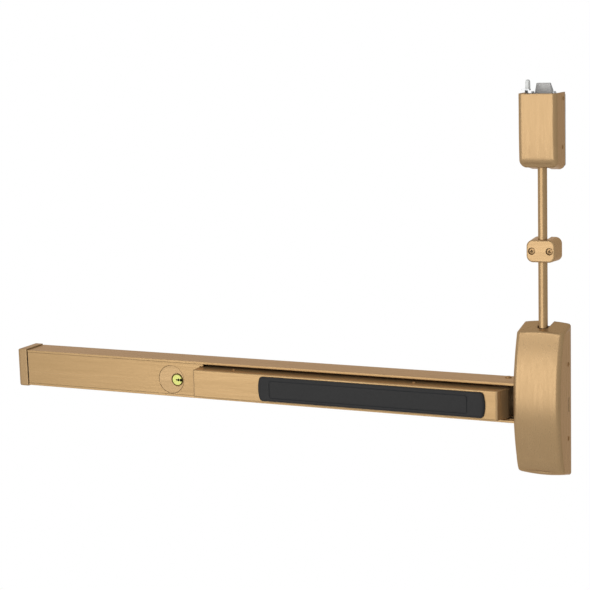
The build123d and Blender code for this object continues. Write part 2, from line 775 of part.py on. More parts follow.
push_pins = []
push_screws = []
for x, screw_x in zip(push_pin_x, push_screw_x):
    end = push_ear_inner + push_ear_thick
    push_pin = pin_z(x, push_pin_depth, link_pin_radius, -end, end)
    for side in (1, -1):
        ends = sorted((side * end, side * (end + 1.0)))
        push_pin += pin_z(x, push_pin_depth, link_pin_radius + 1.2, *ends)
    push_pins.append(push_pin)
    for side in (1, -1):
        place = (screw_x, -push_screw_depth, side * push_half)
        push_screws.append(facing(screw(push_screw_radius, push_wall + 2, 2.9, 1.0), place, (0, 0, side)))
keep("push_brackets", *[push_bracket(x, screw_x) for x, screw_x in zip(push_pin_x, push_screw_x)])
keep("push_pins", *push_pins)
keep("push_rail_screws", *push_screws)

# Bracket that joins the channel to the head's base plate
tongue_left = -75.0
web_right = -10.0
rail_bracket = block((tongue_left, web_right), (base_thick, base_thick + bracket_thick), (-foot_half, foot_half))
rail_bracket -= block((tongue_left - 1, fork_bridge[1] + 1.5), (0, rail_depth), (-6.8, 6.8))
bracket_flange = block(
    (tongue_left, rail_right - 6),
    (base_thick, rail_screw_depth + 6),
    (foot_half - bracket_thick, foot_half),
)
for piece in mirrored(bracket_flange):
    rail_bracket += piece
rail_bracket -= pin_z(rail_screw_x, rail_screw_depth, rail_screw_radius + fit_gap, -rail_half, rail_half)
bracket_relief = lift_hub_radius + 1.6
rail_bracket -= pin_y(lift_x, lift_z, bracket_relief, 0, rail_depth)
rail_bracket -= block(
    (lift_x, web_right + 1),
    (0, rail_depth),
    (lift_z - bracket_relief, rail_half),
)
bracket_screw_x = (web_right - 5, web_right - 16)
bracket_screw_z = -13.0
for x in bracket_screw_x:
    rail_bracket -= pin_y(x, bracket_screw_z, small_screw_radius + fit_gap, 0, rail_depth)
keep("rail_bracket", rail_bracket)

rail_screws = []
for side in (1, -1):
    place = (rail_screw_x, -rail_screw_depth, side * rail_half)
    form = screw(rail_screw_radius, rail_side + 3.2, rail_screw_head, 1.5)
    rail_screws.append(facing(form, place, (0, 0, side)))
keep("rail_screws", *rail_screws)

# Head base plate with its four cover tabs
base_half = base_width / 2
base_plate = slab(RectangleRounded(base_width, base_height, 5), 0, base_thick)
tab_outer = head_width / 2 - head_wall - 0.1
tab_far = head_screw_depth + 6
head_screw_radius = 1.7
head_hole_z = base_height / 2 - head_hole_edge
for side in (1, -1):
    tab_ends = sorted((side * tab_outer, side * (tab_outer - tab_thick)))
    for level in (head_screw_z, -head_screw_z):
        tab = block(tab_ends, (0, tab_far), (level - 7, level + 7))
        across = sorted((side * tab_outer, side * (base_half - 3)))
        strip = block(across, (0, base_thick), (level - 7, level + 7))
        tab += strip
        tab -= pin_x(head_screw_depth, level, head_screw_radius + fit_gap, -head_width, head_width)
        base_plate += tab
    for level in (head_hole_z, -head_hole_z):
        base_plate -= pin_y(side * head_hole_x / 2, level, mount_hole_radius, -1, 10)
window_tab = block(
    (tab_outer - tab_thick, tab_outer),
    (0, head_screw_depth + 5),
    (window_z - 14, window_z + 14),
)
window_tab += block((base_half - 3, tab_outer), (0, base_thick), (window_z - 14, window_z + 14))
base_plate += window_tab
window_screw_z = [window_z + 0.5 * (window_length - window_width) * side for side in (1, -1)]
for z in window_screw_z:
    base_plate -= pin_x(head_screw_depth, z, 1.0 + fit_gap, 0, head_width)
base_plate -= pin_y(lift_x, lift_z, lift_stud_radius - 1 + fit_gap, -1, 10)
for x in bracket_screw_x:
    base_plate -= pin_y(x, bracket_screw_z, small_screw_radius + fit_gap, -1, 10)
keep("head_base_plate", base_plate)

bracket_screws = []
for x in bracket_screw_x:
    place = (x, -(base_thick + bracket_thick), bracket_screw_z)
    form = screw(small_screw_radius, base_thick + bracket_thick - 0.3, 3.0, 1.6)
    bracket_screws.append(facing(form, place, (0, -1, 0)))
keep("bracket_screws", *bracket_screws)


# Head cover: a crowned shell over the base plate, with arched ends that lean in
def head_end(depth, inset, side):
    # Height of the end face's middle at a depth.
    lean = (head_top_lean if side > 0 else head_low_lean) / head_end_depth
    return side * (head_height / 2 - inset - lean * depth)


def head_outline(half_width, depth, inset):
    high = head_end(depth, inset, 1)
    low = head_end(depth, inset, -1)
    top = ThreePointArc((-half_width, high - head_arch), (0, high), (half_width, high - head_arch))
    right = Line((half_width, high - head_arch), (half_width, low + head_arch))
    bottom = ThreePointArc((half_width, low + head_arch), (0, low), (-half_width, low + head_arch))
    left = Line((-half_width, low + head_arch), (-half_width, high - head_arch))
    return make_face([top, right, bottom, left])


def head_form(inset, near):
    # The head's outer form, or the same form inset by a wall for its cavity.
    half_width = head_width / 2 - inset
    far = head_depth + 5
    rear = Plane.XZ.offset(near) * head_outline(half_width, near, inset)
    front = Plane.XZ.offset(far) * head_outline(half_width, far, inset)
    prism = loft([rear, front], ruled=True)
    high = head_end(head_end_depth, 0, 1)
    low = head_end(head_end_depth, 0, -1)
    rise = head_depth - head_end_depth
    crown_radius = (((high - low) / 2) ** 2 + rise ** 2) / (2 * rise)
    side_y = -(head_depth - inset - head_crown)
    bulge = ThreePointArc((-half_width - 1, side_y), (0, -(head_depth - inset)), (half_width + 1, side_y))
    right = Line((half_width + 1, side_y), (half_width + 1, 10))
    back = Line((half_width + 1, 10), (-half_width - 1, 10))
    left = Line((-half_width - 1, 10), (-half_width - 1, side_y))
    section = Pos(0, 0, (high + low) / 2) * make_face([bulge, right, back, left])
    axis = Axis((0, crown_radius - head_depth, (high + low) / 2), (1, 0, 0))
    crown = revolve(section.rotate(axis, -38), axis, 76)
    form = prism & crown
    sides = [edge for edge in form.edges() if edge.length > head_height / 2 and edge.center().Y < -head_end_depth]
    form = fillet(sides, head_side_round - inset)
    ends = [form.faces().sort_by(Axis.Z)[place] for place in (0, -1)]
    rims = [edge for face in ends for edge in face.edges() if edge.center().Y < -near - 1]
    return fillet(rims, head_end_round - inset)


head_cover = head_form(0, seat_gap) - head_form(head_wall, -2)
rod_slot_radius = rod_radius + rod_slot_gap
rod_slot = Pos(0, -rod_depth) * Circle(rod_slot_radius)
rod_slot += make_face(Polyline(
    (-rod_slot_radius, -rod_depth), (rod_slot_radius, -rod_depth), (rod_slot_radius + rod_slot_flare, 1),
    (-rod_slot_radius - rod_slot_flare, 1), (-rod_slot_radius, -rod_depth),
))
head_cover -= tower(rod_slot, head_height / 2 - 25, head_height)
head_cover -= block(
    (-head_width, -head_width / 2 + head_wall + 1),
    (-1, rail_depth + seat_gap),
    (-rail_half - seat_gap, rail_half + seat_gap),
)
for level in (head_screw_z, -head_screw_z):
    head_cover -= pin_x(head_screw_depth, level, head_screw_radius + fit_gap, -head_width, head_width)
window = Pos(-head_screw_depth, window_z) * Rot(0, 0, 90) * SlotOverall(window_length, window_width)
head_cover -= along(window, 0, head_width)
keep("head_cover", head_cover)

cover_screws = []
for side in (1, -1):
    for level in (head_screw_z, -head_screw_z):
        place = (side * head_width / 2, -head_screw_depth, level)
        cover_screws.append(facing(screw(head_screw_radius, head_wall + 2, 3.0, 1.1), place, (side, 0, 0)))
keep("head_cover_screws", *cover_screws)
window_screws = []
for z in window_screw_z:
    place = (tab_outer, -head_screw_depth, z)
    window_screws.append(facing(screw(1.0, tab_thick, 1.6, 0.8), place, (1, 0, 0)))
keep("window_screws", *window_screws)

# Lift crank on its stud
plate_near = rod_depth - lift_plate / 2
plate_far = rod_depth + lift_plate / 2
stud = pin_y(lift_x, lift_z, lift_stud_radius - 1, 0, base_thick)
stud += pin_y(lift_x, lift_z, lift_hub_radius + 0.8, base_thick, base_thick + 2.2)
stud += pin_y(lift_x, lift_z, 6.0, base_thick, plate_near - seat_gap)
stud += pin_y(lift_x, lift_z, lift_stud_radius, base_thick, plate_far + 3.2)
clip_near = plate_far + seat_gap
clip_thick = 1.2
stud -= pin_y(lift_x, lift_z, lift_stud_radius + 1, clip_near, clip_near + clip_thick) \
    - pin_y(lift_x, lift_z, lift_stud_radius - 0.8, 0, rail_depth)
keep("lift_crank_stud", stud)
clip_face = Pos(lift_x, lift_z) * (Circle(6.2) - Circle(lift_stud_radius - 0.8 + fit_gap))
clip_face -= Pos(lift_x, lift_z + 5) * Rectangle(4.4, 10)
keep("lift_crank_clip", slab(clip_face, clip_near, clip_near + clip_thick))

reach_far = lift_reach / cos(radians(lift_swing))
drop_far = lift_drop / cos(radians(lift_swing))
lift_face = capsule((0, 0), (reach_far, 0), 4.6) + capsule((0, 0), (0, -drop_far), 4.6)
lift_face += Circle(lift_hub_radius)
lift_face -= Pos((lift_reach + reach_far) / 2, 0) * crank_slot(lift_reach, lift_swing, link_pin_radius)
lift_face -= Pos(0, -(lift_drop + drop_far) / 2) * Rot(0, 0, 90) * crank_slot(lift_drop, lift_swing, link_pin_radius)
lift_face -= Circle(lift_stud_radius + fit_gap)
keep("lift_crank", slab(Pos(lift_x, lift_z) * Rot(0, 0, lift_swing) * lift_face, plate_near, plate_far))

# Clevis, lock nut and rod
clevis_half = 7.0
clevis_face = capsule((0, rod_pin_z), (0, rod_pin_z + 12), clevis_half)
clevis = slab(clevis_face, cheek_near, cheek_far)
clevis_top = rod_pin_z + 16
clevis &= block((-20, 20), (0, rail_depth), (0, clevis_top))
clevis -= block((-20, 20), (rod_depth - cheek_space / 2, rod_depth + cheek_space / 2), (0, rod_pin_z + 9))
clevis -= pin_y(0, rod_pin_z, link_pin_radius + fit_gap, 0, rail_depth)
clevis_stud = 4.0
clevis += pin_z(0, rod_depth, clevis_stud, clevis_top - 1, rod_bottom + stud_length - 2)
keep("rod_clevis", clevis)
keep("clevis_pin", cross_pin(0, rod_pin_z, cheek_near, cheek_far, link_pin_radius, 3.2))


def lock_nut(low, high):
    nut = tower(Pos(0, -rod_depth) * RegularPolygon(nut_radius, 6), low, high)
    return nut - pin_z(0, rod_depth, clevis_stud + fit_gap, low - 1, high + 1)


top_fork_foot = fork_pin_z - 16
rod_top = top_fork_foot - fork_stud - nut_height
rod = pin_z(0, rod_depth, rod_radius, rod_bottom, rod_top)
rod = chamfer(rod.edges().filter_by(GeomType.CIRCLE), 0.6)
rod -= pin_z(0, rod_depth, clevis_stud + fit_gap, rod_bottom - 1, rod_bottom + stud_length)
rod -= pin_z(0, rod_depth, clevis_stud + fit_gap, rod_top - stud_length, rod_top + 1)
keep("rod", rod)
keep("rod_lock_nuts", lock_nut(rod_bottom - nut_height, rod_bottom), lock_nut(rod_top, rod_top + nut_height))

# Rod guide: a cast block slotted from the door side, with two counterbored screws
guide_rear = RectangleRounded(guide_width + 2 * guide_draft, guide_height + 2 * guide_draft, guide_corner)
guide_front = RectangleRounded(guide_width, guide_height, guide_corner)
guide = loft([
    Plane.XZ * Pos(0, guide_z) * guide_rear,
    Plane.XZ.offset(guide_depth) * Pos(0, guide_z) * guide_front,
])
guide = fillet(guide.faces().sort_by(Axis.Y)[0].edges(), guide_round)
guide -= pin_z(0, rod_depth, rod_radius + 0.1, guide_z - guide_height, guide_z + guide_height)
guide -= block(
    (-rod_radius - 0.1, rod_radius + 0.1),
    (-1, rod_depth),
    (guide_z - guide_height, guide_z + guide_height),
)
guide_screw_radius = 2.3
guide_head_radius = 4.2
guide_bore_depth = 3.2
guide_screws = []
for side in (1, -1):
    guide -= pin_y(side * guide_screw_x, guide_z, guide_screw_radius + fit_gap, -1, guide_depth + 1)
    bore = guide_head_radius + 0.6
    guide -= pin_y(side * guide_screw_x, guide_z, bore, guide_depth - guide_bore_depth, guide_depth + 1)
    place = (side * guide_screw_x, -(guide_depth - guide_bore_depth), guide_z)
    shank = guide_depth - guide_bore_depth - 0.3
    guide_screws.append(facing(screw(guide_screw_radius, shank, guide_head_radius, 2.4), place, (0, -1, 0)))
keep("rod_guide", guide)
keep("rod_guide_screws", *guide_screws)

# Fork on top of the rod
fork_top_cheek = fork_inner + fork_cheek
top_fork_face = Pos(-rod_depth, fork_pin_z) * Circle(5.6)
top_fork_face += Pos(-rod_depth, fork_pin_z - 8) * Rectangle(11.2, 16)
top_fork = along(top_fork_face, -fork_top_cheek, fork_top_cheek)
top_fork -= block((-fork_inner, fork_inner), (0, case_depth), (fork_pin_z - 8, case_top + 20))
top_fork -= pin_x(rod_depth, fork_pin_z, bolt_pin_radius - 0.5 + fit_gap, -20, 20)
top_fork += pin_z(0, rod_depth, clevis_stud, rod_top - stud_length + 2, top_fork_foot + 1)
keep("rod_top_fork", top_fork)
fork_cross_pin = pin_x(rod_depth, fork_pin_z, bolt_pin_radius - 0.5, -fork_top_cheek, fork_top_cheek)
for side in (1, -1):
    ends = sorted((side * fork_top_cheek, side * (fork_top_cheek + 1)))
    fork_cross_pin += pin_x(rod_depth, fork_pin_z, bolt_pin_radius + 0.8, *ends)
keep("top_fork_pin", fork_cross_pin)

# Latch bolt: a tapered nose on two side plates and a central lug
bolt_half = cheek_outer - case_cheek - seat_gap
nose_base = 12.0
nose_rear = 3.5
nose_profile = Polyline(
    (-bolt_front, nose_base), (-bolt_front, bolt_rise), (-2.0, bolt_rise), (nose_rear, bolt_rise - 10),
    (nose_rear, nose_base), (-bolt_front, nose_base),
)
nose = along(make_face(nose_profile), -bolt_half, bolt_half)
flare_z = case_top - bolt_axis_z
taper = Polyline(
    (-bolt_half, nose_base), (-bolt_base_width / 2, flare_z), (-bolt_top_width / 2, bolt_rise),
    (bolt_top_width / 2, bolt_rise), (bolt_base_width / 2, flare_z), (bolt_half, nose_base),
    (-bolt_half, nose_base),
)
nose &= slab(make_face(taper), -20, 20)
nose = fillet(nose.faces().sort_by(Axis.Z)[-1].edges(), 1.0)
side_plate = capsule((0, 0), (0, nose_base - 4), bolt_hub_radius) + Pos(-1.6, nose_base - 2) * Rectangle(10.2, 6)
side_plate &= Pos(0, 4) * Rectangle(40, nose_base + 8)
bolt = nose
for side in (1, -1):
    ends = sorted((side * bolt_half, side * (bolt_half - 3.2)))
    bolt += along(side_plate, *ends)
lug_tip = bolt_reach / cos(radians(bolt_swing))
lug = capsule((0, 0), (-lug_tip, 0), bolt_pin_radius + 1.9)
lug -= Pos(-(bolt_reach + lug_tip) / 2, 0) * SlotCenterToCenter(
    lug_tip - bolt_reach + 0.4, 2 * (bolt_pin_radius - 0.5 + pin_gap + 0.05))
lug = Rot(0, 0, -bolt_swing) * lug
lug += side_plate
bolt += along(lug, -fork_inner + seat_gap, fork_inner - seat_gap)
bolt -= along(Circle(bolt_pin_radius + fit_gap), -30, 30)
bolt = Pos(0, -bolt_axis_depth, bolt_axis_z) * bolt
keep("latch_bolt", bolt)

bolt_pin = pin_x(bolt_axis_depth, bolt_axis_z, bolt_pin_radius, -cheek_outer, cheek_outer)
for side in (1, -1):
    ends = sorted((side * cheek_outer, side * (cheek_outer + 1.1)))
    bolt_pin += pin_x(bolt_axis_depth, bolt_axis_z, bolt_pin_radius + 0.5, *ends)
keep("latch_bolt_pin", bolt_pin)
latch_coil = 3.5
latch_spring = torsion_spring(
    latch_coil,
    0.9,
    1.0,
    2.25,
    nose_base - seat_gap,
    bolt_axis_depth - rail_back - seat_gap,
)
latch_spring = Rot(0, 90, 0) * Rot(0, 0, 90) * latch_spring
keep("latch_spring", Pos(-9.6, -bolt_axis_depth, bolt_axis_z) * latch_spring)

# Top case base: plate on the door, two cheeks for the bolt and four cover tabs
case_half = case_width / 2
plate_low = case_z + case_wall + 3
plate_high = case_top - 1.5
cheek_foot_high = case_top - 7.5
cheek_foot_low = bolt_axis_z - 13.5
case_base = block((-case_half, case_half), (0, rail_back), (plate_low, plate_high))
case_base = fillet(case_base.edges().filter_by(Axis.Y), 3.0)
cheek_face = Polyline(
    (-rail_back, cheek_foot_low), (-cheek_tip + 3, bolt_axis_z - 9.5), (-cheek_tip, bolt_axis_z - 3.5),
    (-cheek_tip, case_top + cheek_rise),
    (-cheek_tip / 2, case_top + cheek_rise),
    (-rail_back, cheek_foot_high),
    (-rail_back, cheek_foot_low),
)
cheek_outline = fillet(make_face(cheek_face).vertices().sort_by(Axis.Y)[-2:], 2.0)
for side in (1, -1):
    ends = sorted((side * cheek_outer, side * (cheek_outer - case_cheek)))
    case_base += along(cheek_outline, *ends)
case_base -= pin_x(bolt_axis_depth, bolt_axis_z, bolt_pin_radius + fit_gap, -case_half, case_half)
case_base -= pin_x(trigger_axis_depth, trigger_axis_z, trigger_pin_radius + fit_gap, -case_half, 0)
case_tab_outer = case_half - case_wall - 0.1
case_tab_thick = 2.0
case_screw_levels = [(case_top - drop, depth) for drop, depth in zip(case_screw_drops, case_screw_depths)]
for side in (1, -1):
    tab_ends = sorted((side * case_tab_outer, side * (case_tab_outer - case_tab_thick)))
    for level, depth in case_screw_levels:
        case_base += block(tab_ends, (0, depth + 4), (level - 5, level + 5))
        case_base -= pin_x(depth, level, case_screw_radius + fit_gap, -case_half, case_half)
    for hole_z in (plate_low + case_hole_edge, cheek_foot_low - case_hole_edge):
        case_base -= pin_y(side * case_hole_x / 2, hole_z, mount_hole_radius, -1, case_depth)
keep("case_base", case_base)


# Top case cover: open above, slotted below for the rod, with an underside that leans in
def case_outline(depth, inset, top):
    half = case_half - inset
    low = case_z + inset + depth * case_lean / case_depth
    face = Pos(0, (low + top) / 2) * Rectangle(2 * half, top - low)
    return fillet(face.vertices().sort_by(Axis.Y)[:2], case_corner - inset)


def case_form(inset, near, top):
    far = case_depth - inset
    rear = Plane.XZ.offset(near) * case_outline(near, inset, top)
    front = Plane.XZ.offset(far) * case_outline(far, inset, top)
    form = loft([rear, front], ruled=True)
    rim = form.faces().sort_by(Axis.Y)[0].edges()
    rim = [edge for edge in rim if edge.center().Z < top - 1]
    return fillet(rim, case_round - inset)


cover_back = rail_back + 0.1
case_cover = case_form(0, cover_back, case_top) - case_form(case_wall, 0, case_top + 5)
rod_way_radius = rod_radius + 1.2
rod_way = Pos(0, -rod_depth) * Circle(rod_way_radius)
rod_way += Pos(0, -rod_depth / 2) * Rectangle(2 * rod_way_radius, rod_depth)
case_cover -= tower(rod_way, case_z - 1, case_z + case_lean + case_wall)
case_screws = []
for side in (1, -1):
    for level, depth in case_screw_levels:
        case_cover -= pin_x(depth, level, case_screw_radius + fit_gap, -case_width, case_width)
        place = (side * case_half, -depth, level)
        length = case_wall + case_tab_thick
        case_screws.append(facing(screw(case_screw_radius, length, case_screw_head, 0.9), place, (side, 0, 0)))
keep("case_cover", case_cover)
keep("case_cover_screws", *case_screws)

# Trigger: a lever on its own pin, with a moulded finger on top
lever_x = -19.2
lever_thick = 2.2
tab_low = case_top + trigger_tab_rise
tab_top = tab_low + trigger_tab_high
tab_half = 3.4
trigger_hub = 4.5
lever_face = make_hull(
    (Pos(-trigger_axis_depth, trigger_axis_z) * Circle(trigger_hub)).edges()
    + (Pos(-trigger_depth, tab_low + 0.5) * Rectangle(6, 1)).edges()
)
lever = along(lever_face, lever_x - lever_thick / 2, lever_x + lever_thick / 2)
tab_ends = (case_wall + tab_gap - case_half, trigger_x + trigger_radius - 0.3)
lever += block(tab_ends, (trigger_depth - tab_half, trigger_depth + tab_half), (tab_low, tab_top))
hub_outer = lever_x - lever_thick / 2 - 0.6
hub_inner = -cheek_outer - 1.6
lever += pin_x(trigger_axis_depth, trigger_axis_z, trigger_hub, hub_outer, hub_inner)
lever -= pin_x(trigger_axis_depth, trigger_axis_z, trigger_pin_radius + fit_gap, -case_half, 0)
keep("trigger_lever", lever)

finger_height = case_top + trigger_tip_rise - tab_top
on_base = (Align.CENTER, Align.CENTER, Align.MIN)
finger = Cone(trigger_radius + 0.1, trigger_radius - 0.3, finger_height, align=on_base)
finger = fillet(finger.edges().sort_by(Axis.Z)[-1], 2.6)
keep("trigger_finger", Pos(trigger_x, -trigger_depth, tab_top) * finger)

pin_head_x = hub_outer - 3.2
trigger_pin = pin_x(trigger_axis_depth, trigger_axis_z, trigger_pin_radius, pin_head_x, -cheek_outer + case_cheek)
trigger_pin += pin_x(trigger_axis_depth, trigger_axis_z, 3.4, pin_head_x - 0.7, pin_head_x + 0.1)
keep("trigger_pin", trigger_pin)
trigger_coil = torsion_spring(2.9, 0.7, 0.8, 2, 5, 5)
trigger_spring_x = pin_head_x + 0.8
keep("trigger_spring", Pos(trigger_spring_x, -trigger_axis_depth, trigger_axis_z) * Rot(0, 90, 0) * trigger_coil)

os.makedirs("parts", exist_ok=True)
for name, shape in nodes.items():
    export_step(shape, f"parts/{name}.step")
print(len(nodes), "nodes")
print("crank axes", [(round(x, 3), round(-crank_depth, 3)) for x in crank_x], "turn", round(2 * crank_swing, 3))
print("lift axis", round(lift_x, 3), round(lift_z, 3), "turn", round(2 * lift_swing, 3))
print("bolt turn", round(2 * bolt_swing, 3), "crank drop", round(crank_drop, 3), "push back", round(push_back, 3))
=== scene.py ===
# Looks of a surface vertical rod exit device in satin bronze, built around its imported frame.

import json
import math

import bmesh
import bpy
from mathutils import Matrix, Vector


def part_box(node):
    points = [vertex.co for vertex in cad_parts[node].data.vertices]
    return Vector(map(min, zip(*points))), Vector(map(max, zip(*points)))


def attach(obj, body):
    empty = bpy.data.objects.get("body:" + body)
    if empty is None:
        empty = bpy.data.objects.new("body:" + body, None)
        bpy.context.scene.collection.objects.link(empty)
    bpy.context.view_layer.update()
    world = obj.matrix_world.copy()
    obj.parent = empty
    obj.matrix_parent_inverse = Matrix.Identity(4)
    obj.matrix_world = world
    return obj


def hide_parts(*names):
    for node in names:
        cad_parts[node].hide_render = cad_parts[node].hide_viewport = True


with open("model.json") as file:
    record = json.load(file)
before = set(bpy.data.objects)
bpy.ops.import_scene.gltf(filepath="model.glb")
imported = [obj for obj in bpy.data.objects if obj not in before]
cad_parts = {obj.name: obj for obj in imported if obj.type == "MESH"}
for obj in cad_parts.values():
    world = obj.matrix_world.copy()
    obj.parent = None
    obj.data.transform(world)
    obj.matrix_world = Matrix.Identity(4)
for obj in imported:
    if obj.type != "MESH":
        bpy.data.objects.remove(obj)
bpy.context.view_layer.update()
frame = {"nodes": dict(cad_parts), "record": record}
bodies, subparts = frame["record"]["behaviour"]["bodies"], frame["record"]["subparts"]
bodyOf = {node: body for body, nodes in bodies.items() for node in nodes}
slotOf = {part["node"]: part["material_slot"] for part in subparts}
print("frame loaded with", len(frame["nodes"]), "nodes")


# Helpers for node trees, the same for materials and for Geometry Nodes


def openSocket(sockets, name):
    # The socket of that name that the node's settings leave in use.
    return [socket for socket in sockets if socket.name == name and socket.enabled][0]


def feed(tree, value, socket):
    # Links another node's output to the socket, or gives it a plain value.
    if isinstance(value, (list, tuple)) and isinstance(value[0], bpy.types.NodeSocket):
        for one in value:
            tree.links.new(one, socket)
    elif isinstance(value, bpy.types.NodeSocket):
        tree.links.new(value, socket)
    else:
        socket.default_value = value


def put(tree, kind, inputs=None, **settings):
    made = tree.nodes.new(kind)
    for name, value in settings.items():
        setattr(made, name, value)
    for name, value in (inputs or {}).items():
        socket = made.inputs[name] if isinstance(name, int) else openSocket(made.inputs, name)
        feed(tree, value, socket)
    return made


def calc(tree, operation, *values):
    inputs = dict(enumerate(values))
    return put(tree, "ShaderNodeMath", inputs, operation=operation).outputs[0]


def times(tree, first, second):
    return calc(tree, "MULTIPLY", first, second)


def vectorCalc(tree, operation, *values):
    inputs = dict(enumerate(values))
    made = put(tree, "ShaderNodeVectorMath", inputs, operation=operation)
    return made.outputs["Value" if operation in ("LENGTH", "DOT_PRODUCT") else "Vector"]


def ramp(tree, value, start, end):
    # 0 at the start and 1 at the end, in between evenly.
    inputs = {"Value": value, "From Min": start, "From Max": end}
    return put(tree, "ShaderNodeMapRange", inputs).outputs["Result"]


def spread(tree, value, low, high):
    # A share from 0 to 1, laid out between low and high.
    inputs = {"Value": value, "To Min": low, "To Max": high}
    return put(tree, "ShaderNodeMapRange", inputs).outputs["Result"]


def newTree(name, kind, inputs, outputs):
    tree = bpy.data.node_groups.new(name, kind)
    for label, socketKind, value in inputs:
        socket = tree.interface.new_socket(label, in_out="INPUT", socket_type=socketKind)
        if value is not None:
            socket.default_value = value
    for label, socketKind in outputs:
        tree.interface.new_socket(label, in_out="OUTPUT", socket_type=socketKind)
    given, result = tree.nodes.new("NodeGroupInput"), tree.nodes.new("NodeGroupOutput")
    return tree, given.outputs, result.inputs


# Effects that several finishes share

number, direction = "NodeSocketFloat", "NodeSocketVector"
effectLook = dict(
    bumpHeight=0.0002,       # full height of strokes and grain
    broadShare=0.21,         # fineness of the broad strokes against the fine ones
    cloudScale=16.0,         # patches of deeper colour, per metre
    detail=2.0,
    fineDetail=3.0,
    fineRoughness=0.6,
    samples=6,
    rounding=(0.999, 0.99),  # flatness between which the rounded normal comes in
    edge=(0.99, 0.86),       # flatness between which the edge's mask comes in
    hollowShade=(0.9, 0.5),       # openness between which the crevice's mask comes in
)


def noiseAt(tree, place, scale, detail, roughness=0.5):
    inputs = {"Vector": place, "Scale": scale, "Detail": detail, "Roughness": roughness}
    return put(tree, "ShaderNodeTexNoise", inputs).outputs["Fac"]


def bumpFrom(tree, look, height, given):
    return put(tree, "ShaderNodeBump", {
        "Height": height, "Strength": given["Depth"], "Distance": look["bumpHeight"],
        "Normal": given["Normal"],
    }).outputs["Normal"]


def brushingGroup(look):
    # Fine and broad strokes along one direction, with the bump that the fine ones leave.
    tree, given, result = newTree(
        "brushing", "ShaderNodeTree",
        [("Stroke", direction, (20, 900, 900)), ("Depth", number, 0.12),
         ("Normal", direction, None)],
        [("Fine", number), ("Broad", number), ("Cloud", number), ("Normal", direction)],
    )
    place = put(tree, "ShaderNodeTexCoord").outputs["Object"]
    across = vectorCalc(tree, "MULTIPLY", place, given["Stroke"])
    wide = put(tree, "ShaderNodeVectorMath", {0: across, "Scale": look["broadShare"]},
               operation="SCALE").outputs["Vector"]
    fine = noiseAt(tree, across, 1.0, look["fineDetail"], look["fineRoughness"])
    feed(tree, fine, result["Fine"])
    feed(tree, noiseAt(tree, wide, 1.0, look["detail"]), result["Broad"])
    feed(tree, noiseAt(tree, place, look["cloudScale"], look["detail"]), result["Cloud"])
    feed(tree, bumpFrom(tree, look, fine, given), result["Normal"])
    return tree


def grainGroup(look):
    # Even grain of moulded, plated and blasted surfaces.
    tree, given, result = newTree(
        "grain", "ShaderNodeTree",
        [("Scale", number, 900.0), ("Depth", number, 0.1), ("Normal", direction, None)],
        [("Mask", number), ("Normal", direction)],
    )
    place = put(tree, "ShaderNodeTexCoord").outputs["Object"]
    noise = noiseAt(tree, place, given["Scale"], look["detail"])
    feed(tree, noise, result["Mask"])
    feed(tree, bumpFrom(tree, look, noise, given), result["Normal"])
    return tree


def edgeGroup(look):
    # Softened edges: a rounded normal, and a mask of where the edge is.
    tree, given, result = newTree(
        "softEdge", "ShaderNodeTree",
        [("Radius", number, 0.0006)], [("Mask", number), ("Normal", direction)],
    )
    rounded = put(tree, "ShaderNodeBevel", {"Radius": given["Radius"]},
                  samples=look["samples"]).outputs["Normal"]
    surface = put(tree, "ShaderNodeNewGeometry").outputs["Normal"]
    flatness = vectorCalc(tree, "DOT_PRODUCT", rounded, surface)
    # Away from an edge the surface keeps its own smooth normal
    near = ramp(tree, flatness, *look["rounding"])
    blended = put(tree, "ShaderNodeMix", {"Factor": near, "A": surface, "B": rounded},
                  data_type="VECTOR")
    feed(tree, ramp(tree, flatness, *look["edge"]), result["Mask"])
    feed(tree, openSocket(blended.outputs, "Result"), result["Normal"])
    return tree


def paintedShadeGroup(look):
    # Painted shade: ambient occlusion of the piece's own walls darkens bores, recesses and inner
    # corners.
    tree, given, result = newTree(
        "creviceShade", "ShaderNodeTree", [("Reach", number, 0.003)], [("Mask", number)],
    )
    openness = put(tree, "ShaderNodeAmbientOcclusion", {"Distance": given["Reach"]},
                   samples=look["samples"], only_local=True).outputs["AO"]
    feed(tree, ramp(tree, openness, *look["hollowShade"]), result["Mask"])
    return tree


brushing, grain = brushingGroup(effectLook), grainGroup(effectLook)
softEdge, creviceShade = edgeGroup(effectLook), paintedShadeGroup(effectLook)


def useGroup(tree, group, inputs):
    return put(tree, "ShaderNodeGroup", inputs, node_tree=group).outputs


def blankMaterial(name):
    material = bpy.data.materials.new(name)
    material.use_nodes = True
    return material, material.node_tree, material.node_tree.nodes["Principled BSDF"]


def mixColour(tree, share, first, second):
    inputs = {"Factor": share, "A": first, "B": second}
    made = put(tree, "ShaderNodeMix", inputs, data_type="RGBA")
    return openSocket(made.outputs, "Result")


# Finishes: colours are in linear light, lengths in metres. The crevice colour paints shade into
# the crevices, the edge share and gain paint a highlight along the edges, rougher and smoother how
# the grain changes the gloss.
brushedLooks = {
    "bronze_extrusion": dict(
        name="satinBronzeRail", light=(0.41, 0.270, 0.134, 1), deep=(0.345, 0.224, 0.107, 1),
        stroke=(16, 1200, 1200), depth=0.08,
    ),
    "bronze_casting": dict(
        name="satinBronzeCover", light=(0.365, 0.244, 0.128, 1), deep=(0.325, 0.215, 0.110, 1),
        stroke=(1300, 1300, 26), depth=0.05, radius=0.003, edgeHighlight=0.10,
    ),
    "bronze_rod": dict(
        name="drawnBronzeRod", light=(0.37, 0.246, 0.127, 1), deep=(0.31, 0.203, 0.101, 1),
        stroke=(900, 900, 40), roughness=0.22,
    ),
    "latch_steel": dict(
        name="sinteredLatch", light=(0.36, 0.355, 0.345, 1), deep=(0.25, 0.245, 0.24, 1),
        stroke=(700, 700, 500), roughness=0.46, tint=(1, 1, 1, 1), shadeColour=(0.10, 0.095, 0.09, 1),
        depth=0.3,
    ),
}
